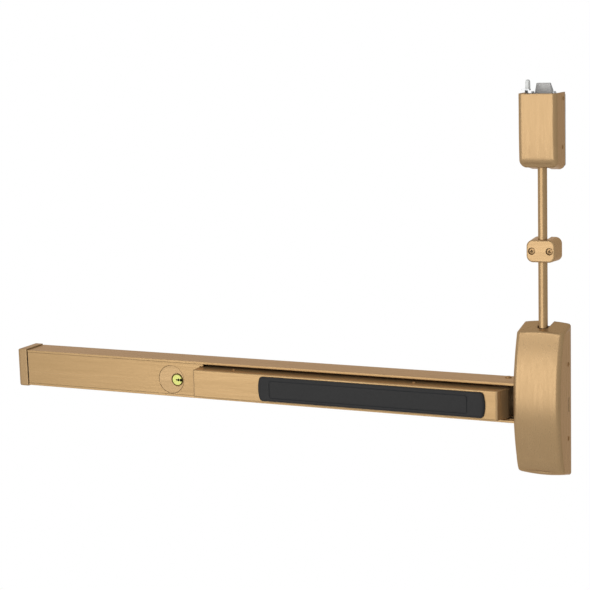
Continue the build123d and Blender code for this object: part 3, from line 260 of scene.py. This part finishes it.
brushedPlain = dict(
    roughness=0.29, rougher=0.05, smoother=0.04, metallic=0.5, specular=0.3,
    tint=(0.76, 0.45, 0.19, 1), depth=0.10, tone=(0.36, 0.64), fineShare=0.6, cloudShare=0.35,
    shadeColour=(0.115, 0.062, 0.024, 1), shadeShare=0.75, reach=0.003, radius=0.0007, edgeHighlight=0.22,
    highlightGain=1.5,
)

grainedLooks = {
    "bronze_screw": dict(
        name="bronzeScrew", high=(0.40, 0.255, 0.125, 1), low=(0.30, 0.19, 0.09, 1),
        roughness=0.34, metallic=0.6, shadeColour=(0.012, 0.006, 0.003, 1), tint=(0.85, 0.52, 0.26, 1),
    ),
    "dark_pad": dict(
        name="darkPad", high=(0.0255, 0.0255, 0.026, 1), low=(0.0185, 0.0185, 0.019, 1),
        roughness=0.55, metallic=0.0, specular=0.15, scale=1300.0, depth=0.16,
        shadeColour=(0.012, 0.014, 0.017, 1), edgeHighlight=0.0, radius=0.006,
    ),
    "zinc_steel": dict(
        name="zincSteel", high=(0.50, 0.51, 0.52, 1), low=(0.40, 0.405, 0.41, 1),
        roughness=0.38, metallic=0.7, scale=700.0,
    ),
    "spring_steel": dict(
        name="springSteel", high=(0.40, 0.40, 0.41, 1), low=(0.28, 0.28, 0.285, 1),
        roughness=0.3, metallic=0.85, scale=1600.0,
    ),
    "white_nylon": dict(
        name="whiteNylon", high=(0.70, 0.72, 0.72, 1), low=(0.62, 0.64, 0.64, 1),
        roughness=0.35, metallic=0.0, scale=1200.0, depth=0.05, shadeColour=(0.35, 0.36, 0.36, 1),
    ),
}
grainedPlain = dict(
    scale=1500.0, depth=0.1, tone=(0.3, 0.7), rougher=0.04, smoother=0.04, specular=0.5,
    tint=(1, 1, 1, 1), shadeColour=(0.08, 0.08, 0.08, 1), shadeShare=0.85, reach=0.002, radius=0.0004,
    edgeHighlight=0.12, highlightGain=1.8,
)


def setPlainSockets(shader, look):
    # What is the same all over the surface.
    shader.inputs["Metallic"].default_value = look["metallic"]
    shader.inputs["Specular IOR Level"].default_value = look["specular"]
    shader.inputs["Specular Tint"].default_value = look["tint"]


def paintedShadeAndHighlight(tree, look, colour, edge, highlightBase):
    # Painted shade in the crevices and a painted highlight along the edges.
    # Painted shade: ambient occlusion of the piece's own walls darkens its hollows.
    hollowShade = useGroup(tree, creviceShade, {"Reach": look["reach"]})["Mask"]
    colour = mixColour(tree, times(tree, hollowShade, look["shadeShare"]), colour, look["shadeColour"])
    # Painted highlight: the colour is brightened along the edges.
    highlightColour = [min(1.0, part * look["highlightGain"]) for part in highlightBase[:3]] + [1]
    return mixColour(tree, times(tree, edge["Mask"], look["edgeHighlight"]), colour, highlightColour)


def finishSurface(tree, shader, look, colour, tone, normal):
    roughness = spread(tree, tone, look["roughness"] + look["rougher"],
                       look["roughness"] - look["smoother"])
    feed(tree, colour, shader.inputs["Base Color"])
    feed(tree, roughness, shader.inputs["Roughness"])
    feed(tree, normal, shader.inputs["Normal"])
    setPlainSockets(shader, look)


def brushedMetal(ownLook):
    look = {**brushedPlain, **ownLook}
    material, tree, shader = blankMaterial(look["name"])
    edge = useGroup(tree, softEdge, {"Radius": look["radius"]})
    strokes = useGroup(tree, brushing, {
        "Stroke": look["stroke"], "Depth": look["depth"], "Normal": edge["Normal"],
    })
    fine = times(tree, strokes["Fine"], look["fineShare"])
    broad = times(tree, strokes["Broad"], 1 - look["fineShare"])
    tone = ramp(tree, calc(tree, "ADD", fine, broad), *look["tone"])
    colour = mixColour(tree, tone, look["deep"], look["light"])
    cloud = spread(tree, strokes["Cloud"], 0.0, look["cloudShare"])
    colour = mixColour(tree, cloud, colour, look["deep"])
    colour = paintedShadeAndHighlight(tree, look, colour, edge, look["light"])
    finishSurface(tree, shader, look, colour, tone, strokes["Normal"])
    return material


def grainedFinish(ownLook):
    look = {**grainedPlain, **ownLook}
    material, tree, shader = blankMaterial(look["name"])
    edge = useGroup(tree, softEdge, {"Radius": look["radius"]})
    fine = useGroup(tree, grain, {
        "Scale": look["scale"], "Depth": look["depth"], "Normal": edge["Normal"],
    })
    tone = ramp(tree, fine["Mask"], *look["tone"])
    colour = mixColour(tree, tone, look["low"], look["high"])
    colour = paintedShadeAndHighlight(tree, look, colour, edge, look["high"])
    finishSurface(tree, shader, look, colour, tone, fine["Normal"])
    return material


# Key plug: bright face, dark rim, and painted shade that makes the keyway black on the face and
# below it. rimIn, rimOut and keywayIn are measured inwards from the plug's edge, keywayTop and
# keywayDepth down from its face.
plugLook = dict(
    face=(0.56, 0.575, 0.18, 1), faceDeep=(0.48, 0.49, 0.14, 1), rim=(0.17, 0.145, 0.035, 1),
    paintedKeywayShade=(0.004, 0.004, 0.003, 1), rimIn=0.0011, rimOut=0.00077, keywayIn=0.00066,
    keywayTop=0.00015, keywayDepth=0.0005, slotHalf=0.0009, slotStart=-0.0018,
    bulgePlace=0.0023, bulgeLong=0.0019, bulgeHigh=0.0027, grainScale=1500.0, grainDepth=0.05,
    roughness=0.30, blackRoughness=0.9, metallic=0.35, specular=0.3, tint=(1, 1, 0.6, 1),
)


def keywayMask(tree, look, along, height):
    # A slot with a wider part for the key's ribs.
    slot = times(tree, calc(tree, "LESS_THAN", height, look["slotHalf"]),
                 calc(tree, "GREATER_THAN", along, look["slotStart"]))
    away = calc(tree, "ABSOLUTE", calc(tree, "SUBTRACT", along, look["bulgePlace"]))
    outside = calc(tree, "ADD", calc(tree, "DIVIDE", away, look["bulgeLong"]),
                   calc(tree, "DIVIDE", height, look["bulgeHigh"]))
    return calc(tree, "MAXIMUM", slot, calc(tree, "LESS_THAN", outside, 1.0))


def plugFinish(look):
    low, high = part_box("key_plug")
    centre = (low + high) / 2
    front, faceRadius = low[1], (high[0] - low[0]) / 2
    material, tree, shader = blankMaterial("plugBrass")
    place = put(tree, "ShaderNodeTexCoord").outputs["Object"]
    offset = vectorCalc(tree, "SUBTRACT", place, (centre[0], front, centre[2]))
    parts = put(tree, "ShaderNodeSeparateXYZ", {"Vector": offset}).outputs
    across = put(tree, "ShaderNodeCombineXYZ", {"X": parts["X"], "Z": parts["Z"]}).outputs[0]
    reach = vectorCalc(tree, "LENGTH", across)
    fine = useGroup(tree, grain, {
        "Scale": look["grainScale"], "Depth": look["grainDepth"],
        "Normal": put(tree, "ShaderNodeNewGeometry").outputs["Normal"],
    })
    face = mixColour(tree, fine["Mask"], look["faceDeep"], look["face"])
    ring = ramp(tree, reach, faceRadius - look["rimIn"], faceRadius - look["rimOut"])
    below = ramp(tree, parts["Y"], look["keywayTop"], look["keywayDepth"])
    height = calc(tree, "ABSOLUTE", parts["Z"])
    keywayShadeMask = calc(tree, "MAXIMUM", below, keywayMask(tree, look, parts["X"], height))
    inside = calc(tree, "LESS_THAN", reach, faceRadius - look["keywayIn"])
    colour = mixColour(tree, ring, face, look["rim"])
    # Painted shade: the keyway goes black on the face and below it.
    colour = mixColour(tree, times(tree, keywayShadeMask, inside), colour, look["paintedKeywayShade"])
    roughness = spread(tree, keywayShadeMask, look["roughness"], look["blackRoughness"])
    feed(tree, colour, shader.inputs["Base Color"])
    feed(tree, roughness, shader.inputs["Roughness"])
    feed(tree, fine["Normal"], shader.inputs["Normal"])
    setPlainSockets(shader, look)
    return material


# Collar, barrel and rod guide are brushed along the rail instead of upwards
alongRailLook = dict(
    name="satinBronzeAlongRail", light=(0.41, 0.273, 0.142, 1), deep=(0.36, 0.238, 0.120, 1),
    stroke=(40, 1300, 1300), depth=0.02, radius=0.0012, edgeHighlight=0.10, reach=0.005,
    shadeColour=(0.03, 0.016, 0.007, 1),
)

materials = {slot: brushedMetal(look) for slot, look in brushedLooks.items()}
materials.update({slot: grainedFinish(look) for slot, look in grainedLooks.items()})
materials["plug_brass"] = plugFinish(plugLook)
alongRail = brushedMetal(alongRailLook)
nodeFinish = {node: alongRail for node in ("cylinder_collar", "cylinder_barrel", "rod_guide")}
for node, obj in frame["nodes"].items():
    obj.data.materials.clear()
    obj.data.materials.append(nodeFinish.get(node, materials[slotOf[node]]))
print("finishes made and given to the nodes")


# Helpers for pieces that take a node's place

mergeReach = 1e-6  # corners of the frame's loose triangles that are the same point


def mergedCopy(node):
    work = bmesh.new()
    work.from_mesh(frame["nodes"][node].data)
    bmesh.ops.remove_doubles(work, verts=work.verts, dist=mergeReach)
    return work


def addObject(name, data):
    made = bpy.data.objects.new(name, data)
    bpy.context.collection.objects.link(made)
    return made


def plainMesh(obj):
    # Turns what the modifiers make into the object's own mesh.
    made = bpy.data.meshes.new_from_object(
        obj.evaluated_get(bpy.context.evaluated_depsgraph_get()))
    obj.modifiers.clear()
    obj.data = made
    obj.data.name = obj.name


# Covers: copies of the frame's shells with fuller, rounder lower corners. The plain underside is
# given by low, depth and lean, the plain front by front, crownRadius and middle. Below start the
# cover grows by fuller, below bendStart its front draws back by bend.
coverLooks = {
    "head_cover": dict(
        low=-0.1099, depth=0.038, lean=0.0128, front=-0.058, crownRadius=0.2565, middle=0.0022,
        start=-0.075, fuller=0.007, rounding=0.017, bendStart=-0.075, bend=0.0,
        step=0.002, frontCuts=13, sharpAngle=32,
    ),
    "case_cover": dict(
        low=0.3207, depth=0.044, lean=0.011, front=-0.044, crownRadius=10.0, middle=0.37,
        start=0.350, fuller=0.005, rounding=0.0095, bendStart=0.385, bend=0.09,
        step=0.0025, frontCuts=13, sharpAngle=32,
    ),
}


def softPlace(place, look):
    # Where a point of the plain cover lies on the softened one.
    x, y, z = place
    under = look["low"] - y / look["depth"] * look["lean"]
    crown = look["crownRadius"]
    rise = crown - math.sqrt(crown ** 2 - (z - look["middle"]) ** 2)
    outward = (y / look["depth"]) ** 2  # nothing moves at the door, where the screws are
    inward = 1 - (y - look["front"] - rise) / look["rounding"]
    down = 1 - (z - under) / look["rounding"]
    if inward > 0 and down > 0:  # a square corner drawn in to a circle
        y += inward * (1 - math.sqrt(max(0.0, 1 - down ** 2 / 2))) * look["rounding"]
        z += down * (1 - math.sqrt(max(0.0, 1 - inward ** 2 / 2))) * look["rounding"]
    if z < look["start"]:
        longer = 1 + outward * look["fuller"] / (look["start"] - under)
        z = look["start"] - (look["start"] - z) * longer
    if z < look["bendStart"]:
        share = (look["bendStart"] - z) / (look["bendStart"] - look["low"])
        y *= 1 - look["bend"] * outward * share ** 2
    return x, y, z


def cutBelow(work, top, place, facing):
    # New edges along a plane, only in the faces that reach below the top.
    faces = [face for face in work.faces if min(corner.co.z for corner in face.verts) < top]
    parts = dict.fromkeys(faces)  # a dictionary keeps their order, as a set doesn't
    parts.update(dict.fromkeys(edge for face in faces for edge in face.edges))
    parts.update(dict.fromkeys(corner for face in faces for corner in face.verts))
    bmesh.ops.bisect_plane(
        work, geom=list(parts), dist=mergeReach, plane_co=place, plane_no=facing)


def softCover(node, look):
    work = mergedCopy(node)
    top, step = max(look["start"], look["bendStart"]), look["step"]
    for i in range(int((top - look["low"]) / step)):
        cutBelow(work, top, (0, 0, top - step * i), (0, 0, 1))
    for i in range(look["frontCuts"]):
        cutBelow(work, top, (0, look["front"] + step * (i + 1), 0), (0, 1, 0))
    for corner in work.verts:
        corner.co = softPlace(corner.co, look)
    bmesh.ops.triangulate(work, faces=work.faces)
    mesh = bpy.data.meshes.new("soft_" + node)
    work.to_mesh(mesh)
    work.free()
    mesh.shade_smooth()
    mesh.set_sharp_from_angle(angle=math.radians(look["sharpAngle"]))
    mesh.materials.clear()
    mesh.materials.append(materials[slotOf[node]])
    cover = addObject("soft_" + node, mesh)
    cover.modifiers.new("weighted", "WEIGHTED_NORMAL").keep_sharp = True
    plainMesh(cover)
    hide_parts(node)
    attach(cover, bodyOf[node])
    return cover


for node, look in coverLooks.items():
    made = softCover(node, look)
    print(node, len(made.data.polygons), "faces")
print("covers softened")


# Screws, made by Geometry Nodes from the places and sizes of the frame's own screws. The recess
# is in shares of the head's radius and height, dome in shares of the height, thread in metres.
screwShare = dict(
    recessReach=0.66, recessWidth=0.4, recessDepth=0.62, dome=0.28,
    threadPitch=0.0007, threadDepth=0.00018, seed=4,
)
fineThread = dict(threadPitch=0.0005, threadDepth=0.00012)
screwNodes = {
    "rod_guide_screws": dict(axis=1, finish="bronze_screw"),
    "head_cover_screws": dict(axis=0, finish="bronze_screw"),
    "case_cover_screws": dict(axis=0, finish="bronze_screw"),
    "rail_screws": dict(axis=2, finish="bronze_screw"),
    "push_rail_screws": dict(axis=2, finish="bronze_screw", dome=0.2),
    "end_cap_screw": dict(axis=0, finish="bronze_screw"),
    "rail_end_screws": dict(axis=1, finish="zinc_steel"),
    "bracket_screws": dict(axis=1, finish="zinc_steel"),
    "window_screws": dict(axis=0, finish="zinc_steel", **fineThread),
    "cam_screws": dict(axis=1, finish="zinc_steel", **fineThread),
}


def looseSolids(node):
    # The separate solids of a node, each as the list of its corners.
    work = mergedCopy(node)
    waiting, solids = set(work.verts), []
    for first in work.verts:  # in the mesh's own order, so that each run gives the same screws
        if first not in waiting:
            continue
        waiting.remove(first)
        reached, solid = [first], []
        while reached:
            corner = reached.pop()
            solid.append(corner.co.copy())
            for link in corner.link_edges:
                other = link.other_vert(corner)
                if other in waiting:
                    waiting.remove(other)
                    reached.append(other)
        solids.append(solid)
    work.free()
    return solids


endBand = 1e-5   # corners that near to a screw's end belong to its end face
headShare = 1.1  # corners wider than the shank by that share belong to the head


def measureScrew(corners, axis):
    # Seat, facing and sizes of one screw: the head is at its wider end.
    others = [i for i in range(3) if i != axis]
    middle = [sum(limit(c[i] for c in corners) for limit in (min, max)) / 2 for i in range(3)]
    reach = [(c[axis], math.hypot(*(c[i] - middle[i] for i in others))) for c in corners]
    ends = min(reach)[0], max(reach)[0]
    endReach = [max(r for a, r in reach if abs(a - end) < endBand) for end in ends]
    sign = 1 if endReach[1] > endReach[0] else -1
    tail, tip = ends if sign > 0 else reversed(ends)
    shank = min(endReach)
    seat = min((a for a, r in reach if r > shank * headShare), key=lambda a: abs(a - tail))
    place, facing = Vector(middle), Vector((0, 0, 0))
    place[axis], facing[axis] = seat, sign
    sizes = {
        "Head Radius": max(r for a, r in reach), "Head Height": abs(tip - seat),
        "Shank Radius": shank, "Shank Length": abs(seat - tail),
    }
    return place, facing, sizes


# Shape that all the screws share, in counts and in shares of the screw's own sizes. Only the top
# of the head reaches above topSide, in metres; sharpEdge is an angle in radians.
screwShape = dict(
    headSides=40, headLevels=2, headRings=6, domePower=3.0, topSide=0.0001,
    shankSides=16, ringsPerTurn=4.0, rootShare=0.3, bladeFoot=0.5, bladeTop=1.2,
    pointSides=12, pointTop=0.6, pointFoot=0.15, pointLong=1.3, pointDown=1.2, sharpEdge=0.6,
)


def screwTree(shape):
    sizes = ["Head Radius", "Head Height", "Shank Radius", "Shank Length", "Dome",
             "Recess Reach", "Recess Width", "Recess Depth", "Thread Pitch", "Thread Depth"]
    tree, given, result = newTree(
        "crossScrews", "GeometryNodeTree",
        [("Places", "NodeSocketGeometry", None)] + [(size, number, 0.001) for size in sizes]
        + [("Seed", "NodeSocketInt", 4), ("Finish", "NodeSocketMaterial", None)],
        [("Screws", "NodeSocketGeometry")],
    )
    high, wide = given["Head Height"], given["Head Radius"]
    recessReach, recessDepth = given["Recess Reach"], given["Recess Depth"]

    def here():
        place = put(tree, "GeometryNodeInputPosition").outputs[0]
        return put(tree, "ShaderNodeSeparateXYZ", {"Vector": place}).outputs

    def at(x, y, z):
        return put(tree, "ShaderNodeCombineXYZ", {"X": x, "Y": y, "Z": z}).outputs[0]

    def moved(mesh, x, y, z):
        inputs = {"Geometry": mesh, "Position": at(x, y, z)}
        return put(tree, "GeometryNodeSetPosition", inputs).outputs[0]

    # Head: a disc on its seat whose top falls away towards the rim
    head = put(tree, "GeometryNodeMeshCylinder", {
        "Vertices": shape["headSides"], "Side Segments": shape["headLevels"],
        "Fill Segments": shape["headRings"], "Radius": wide, "Depth": high,
    }, fill_type="TRIANGLE_FAN").outputs["Mesh"]
    x, y, z = here()
    flat = calc(tree, "SQRT", calc(tree, "ADD", times(tree, x, x), times(tree, y, y)))
    share = calc(tree, "POWER", calc(tree, "DIVIDE", flat, wide), shape["domePower"])
    onTop = calc(tree, "GREATER_THAN", z, shape["topSide"])
    fall = times(tree, times(tree, share, given["Dome"]), onTop)
    up = calc(tree, "ADD", z, times(tree, high, 0.5))
    head = moved(head, x, y, calc(tree, "SUBTRACT", up, fall))

    # Shank: rings that follow a helix, its root inside the head
    turns = calc(tree, "DIVIDE", given["Shank Length"], given["Thread Pitch"])
    root = times(tree, high, shape["rootShare"])
    length = calc(tree, "ADD", given["Shank Length"], root)
    shank = put(tree, "GeometryNodeMeshCylinder", {
        "Vertices": shape["shankSides"], "Radius": given["Shank Radius"], "Depth": length,
        "Side Segments": times(tree, turns, shape["ringsPerTurn"]),
    }).outputs["Mesh"]
    x, y, z = here()
    turn = calc(tree, "DIVIDE", calc(tree, "ARCTAN2", y, x), 2 * math.pi)
    winding = calc(tree, "ADD", calc(tree, "DIVIDE", z, given["Thread Pitch"]), turn)
    rise = times(tree, calc(tree, "PINGPONG", winding, 0.5), 2.0)
    cut = calc(tree, "DIVIDE", times(tree, rise, given["Thread Depth"]), given["Shank Radius"])
    thin = calc(tree, "SUBTRACT", 1.0, cut)
    middle = calc(tree, "SUBTRACT", times(tree, length, 0.5), root)
    shank = moved(shank, times(tree, x, thin), times(tree, y, thin),
                  calc(tree, "SUBTRACT", z, middle))
    body = put(tree, "GeometryNodeMeshBoolean", {"Mesh": [head, shank]},
               operation="UNION", solver="EXACT").outputs["Mesh"]

    # Recess: two crossed blades that narrow downwards, and a cone between them
    blades = []
    for quarter in (0.0, math.pi / 2):
        blade = put(tree, "GeometryNodeMeshCube", {
            "Size": at(times(tree, recessReach, 2.0), given["Recess Width"],
                       times(tree, recessDepth, 2.0)),
        }).outputs["Mesh"]
        x, y, z = here()
        narrow = spread(tree, calc(tree, "GREATER_THAN", z, 0.0),
                        shape["bladeFoot"], shape["bladeTop"])
        blade = moved(blade, times(tree, x, narrow), times(tree, y, narrow),
                      calc(tree, "ADD", z, high))
        blades.append(put(tree, "GeometryNodeTransform", {
            "Geometry": blade, "Rotation": (0, 0, quarter),
        }).outputs[0])
    point = put(tree, "GeometryNodeMeshCone", {
        "Vertices": shape["pointSides"], "Radius Top": times(tree, recessReach, shape["pointTop"]),
        "Radius Bottom": times(tree, recessReach, shape["pointFoot"]),
        "Depth": times(tree, recessDepth, shape["pointLong"]),
    }).outputs["Mesh"]
    x, y, z = here()
    foot = calc(tree, "SUBTRACT", high, times(tree, recessDepth, shape["pointDown"]))
    point = moved(point, x, y, calc(tree, "ADD", z, foot))
    screw = put(tree, "GeometryNodeMeshBoolean", {"Mesh 1": body, "Mesh 2": blades + [point]},
                operation="DIFFERENCE", solver="EXACT").outputs["Mesh"]

    # One screw at each place, its recess turned by chance
    aim = put(tree, "GeometryNodeInputNamedAttribute", {"Name": "facing"},
              data_type="FLOAT_VECTOR").outputs[0]
    upright = put(tree, "FunctionNodeAlignRotationToVector", {"Vector": aim},
                  axis="Z").outputs[0]
    chance = put(tree, "FunctionNodeRandomValue", {
        "Min": 0.0, "Max": math.pi / 2, "Seed": given["Seed"],
    }, data_type="FLOAT").outputs
    twist = put(tree, "FunctionNodeAxisAngleToRotation", {
        "Axis": (0, 0, 1), "Angle": openSocket(chance, "Value"),
    }).outputs[0]
    stand = put(tree, "FunctionNodeRotateRotation", {"Rotation": upright, "Rotate By": twist},
                rotation_space="LOCAL").outputs[0]
    placed = put(tree, "GeometryNodeInstanceOnPoints", {
        "Points": given["Places"], "Instance": screw, "Rotation": stand,
    }).outputs[0]
    solid = put(tree, "GeometryNodeRealizeInstances", {"Geometry": placed}).outputs[0]

    # Smooth faces between sharp edges
    smooth = put(tree, "GeometryNodeSetShadeSmooth", {
        "Geometry": solid, "Shade Smooth": True,
    }, domain="FACE").outputs[0]
    bend = put(tree, "GeometryNodeInputMeshEdgeAngle").outputs["Unsigned Angle"]
    smooth = put(tree, "GeometryNodeSetShadeSmooth", {
        "Geometry": smooth, "Shade Smooth": False,
        "Selection": calc(tree, "GREATER_THAN", bend, shape["sharpEdge"]),
    }, domain="EDGE").outputs[0]
    done = put(tree, "GeometryNodeSetMaterial", {
        "Geometry": smooth, "Material": given["Finish"],
    }).outputs[0]
    feed(tree, done, result["Screws"])
    return tree


def setInput(modifier, label, value):
    for item in modifier.node_group.interface.items_tree:
        if item.item_type == "SOCKET" and item.in_out == "INPUT" and item.name == label:
            modifier[item.identifier] = value


def makeScrews(node, ownLook, tree):
    look = {**screwShare, **ownLook}
    measured = [measureScrew(solid, look["axis"]) for solid in looseSolids(node)]
    mesh = bpy.data.meshes.new(node + "Places")
    mesh.from_pydata([place for place, facing, sizes in measured], [], [])
    facings = mesh.attributes.new("facing", "FLOAT_VECTOR", "POINT")
    facings.data.foreach_set("vector", [part for screw in measured for part in screw[1]])
    screws = addObject("crossed_" + node, mesh)
    modifier = screws.modifiers.new("crossScrews", "NODES")
    modifier.node_group = tree
    sizes = measured[0][2]
    wide, high = sizes["Head Radius"], sizes["Head Height"]
    inputs = {
        **sizes, "Dome": high * look["dome"], "Recess Reach": wide * look["recessReach"],
        "Recess Width": wide * look["recessWidth"], "Recess Depth": high * look["recessDepth"],
        "Thread Pitch": look["threadPitch"], "Thread Depth": look["threadDepth"],
        "Seed": look["seed"], "Finish": materials[look["finish"]],
    }
    for label, value in inputs.items():
        setInput(modifier, label, value)
    plainMesh(screws)
    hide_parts(node)
    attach(screws, bodyOf[node])
    return screws


screwNodeTree = screwTree(screwShape)
for node, look in screwNodes.items():
    made = makeScrews(node, look, screwNodeTree)
    print(node, len(made.data.polygons), "faces")
print("screws made")


# Floor, world and lights
stageLook = dict(
    floorPlace=(-0.4, 0, -0.70), floorSize=60, floorColour=(0.86, 0.86, 0.86, 1),
    floorRoughness=0.9, white=(1, 1, 1, 1), worldColour=(1, 0.95, 0.86, 1), worldStrength=0.28,
)
lampTarget = (-0.4, -0.03, 0.1)
lamps = [
    dict(name="frontSoftbox", place=(-0.75, -2.6, 0.16), size=(3.0, 1.8), power=42),
    dict(name="topStrip", place=(-0.4, -1.9, 1.6), size=(2.4, 0.5), power=16),
]


def seesBackground(tree):
    # 1 for camera, glossy and transmitted rays, which all see the plain white.
    path = put(tree, "ShaderNodeLightPath").outputs
    both = calc(tree, "MAXIMUM", path["Is Camera Ray"], path["Is Glossy Ray"])
    return calc(tree, "MAXIMUM", both, path["Is Transmission Ray"])


def paleFloor(look):
    bpy.ops.mesh.primitive_plane_add(size=look["floorSize"], location=look["floorPlace"])
    floor = bpy.context.object
    floor.name = "paleFloor"
    material, tree, shader = blankMaterial("paleFloor")
    shader.inputs["Base Color"].default_value = look["floorColour"]
    shader.inputs["Roughness"].default_value = look["floorRoughness"]
    glow = put(tree, "ShaderNodeEmission", {"Color": look["white"], "Strength": 1.0})
    mix = put(tree, "ShaderNodeMixShader", {
        0: seesBackground(tree), 1: shader.outputs[0], 2: glow.outputs[0],
    })
    feed(tree, mix.outputs[0], tree.nodes["Material Output"].inputs["Surface"])
    floor.data.materials.append(material)


def paleWorld(look):
    world = bpy.data.worlds.new("paleWorld")
    bpy.context.scene.world = world
    world.use_nodes = True
    tree = world.node_tree
    soft = tree.nodes["Background"]
    soft.inputs["Color"].default_value = look["worldColour"]
    soft.inputs["Strength"].default_value = look["worldStrength"]
    white = put(tree, "ShaderNodeBackground", {"Color": look["white"], "Strength": 1.0})
    mix = put(tree, "ShaderNodeMixShader", {
        0: seesBackground(tree), 1: soft.outputs[0], 2: white.outputs[0],
    })
    feed(tree, mix.outputs[0], tree.nodes["World Output"].inputs["Surface"])


def areaLamp(look, target):
    data = bpy.data.lights.new(look["name"], "AREA")
    data.shape = "RECTANGLE"
    data.size, data.size_y = look["size"]
    data.energy = look["power"]
    lamp = addObject(look["name"], data)
    lamp.location = look["place"]
    aim = Vector(target) - lamp.location
    lamp.rotation_euler = aim.to_track_quat("-Z", "Y").to_euler()


# Camera, solved from the rail's and the head's edges: focal length in pixels, angles in degrees
cameraLook = dict(
    focal=1700.0, imageWidth=590.0, sensorWidth=36.0, yaw=-25.51, pitch=9.51, roll=-1.71,
    shift=(0.353, 2.374, -0.144), farEnd=100.0,
)


def photoCamera(look):
    yaw, pitch, roll = (math.radians(look[angle]) for angle in ("yaw", "pitch", "roll"))
    turn = Matrix.Rotation(roll, 3, "Y") @ Matrix.Rotation(pitch, 3, "X")
    turn = turn @ Matrix.Rotation(yaw, 3, "Z")
    data = bpy.data.cameras.new("photoCamera")
    data.sensor_width = look["sensorWidth"]
    data.lens = look["focal"] / look["imageWidth"] * look["sensorWidth"]
    data.clip_end = look["farEnd"]
    camera = addObject("photoCamera", data)
    right, ahead, up = turn
    place = -(turn.transposed() @ Vector(look["shift"]))
    axes = Matrix((right, up, -ahead)).transposed().to_4x4()
    camera.matrix_world = Matrix.Translation(place) @ axes
    bpy.context.scene.camera = camera


paleFloor(stageLook)
paleWorld(stageLook)
for lamp in lamps:
    areaLamp(lamp, lampTarget)
photoCamera(cameraLook)
bpy.context.scene.view_settings.view_transform = "Standard"
print("stage, lights and camera ready")
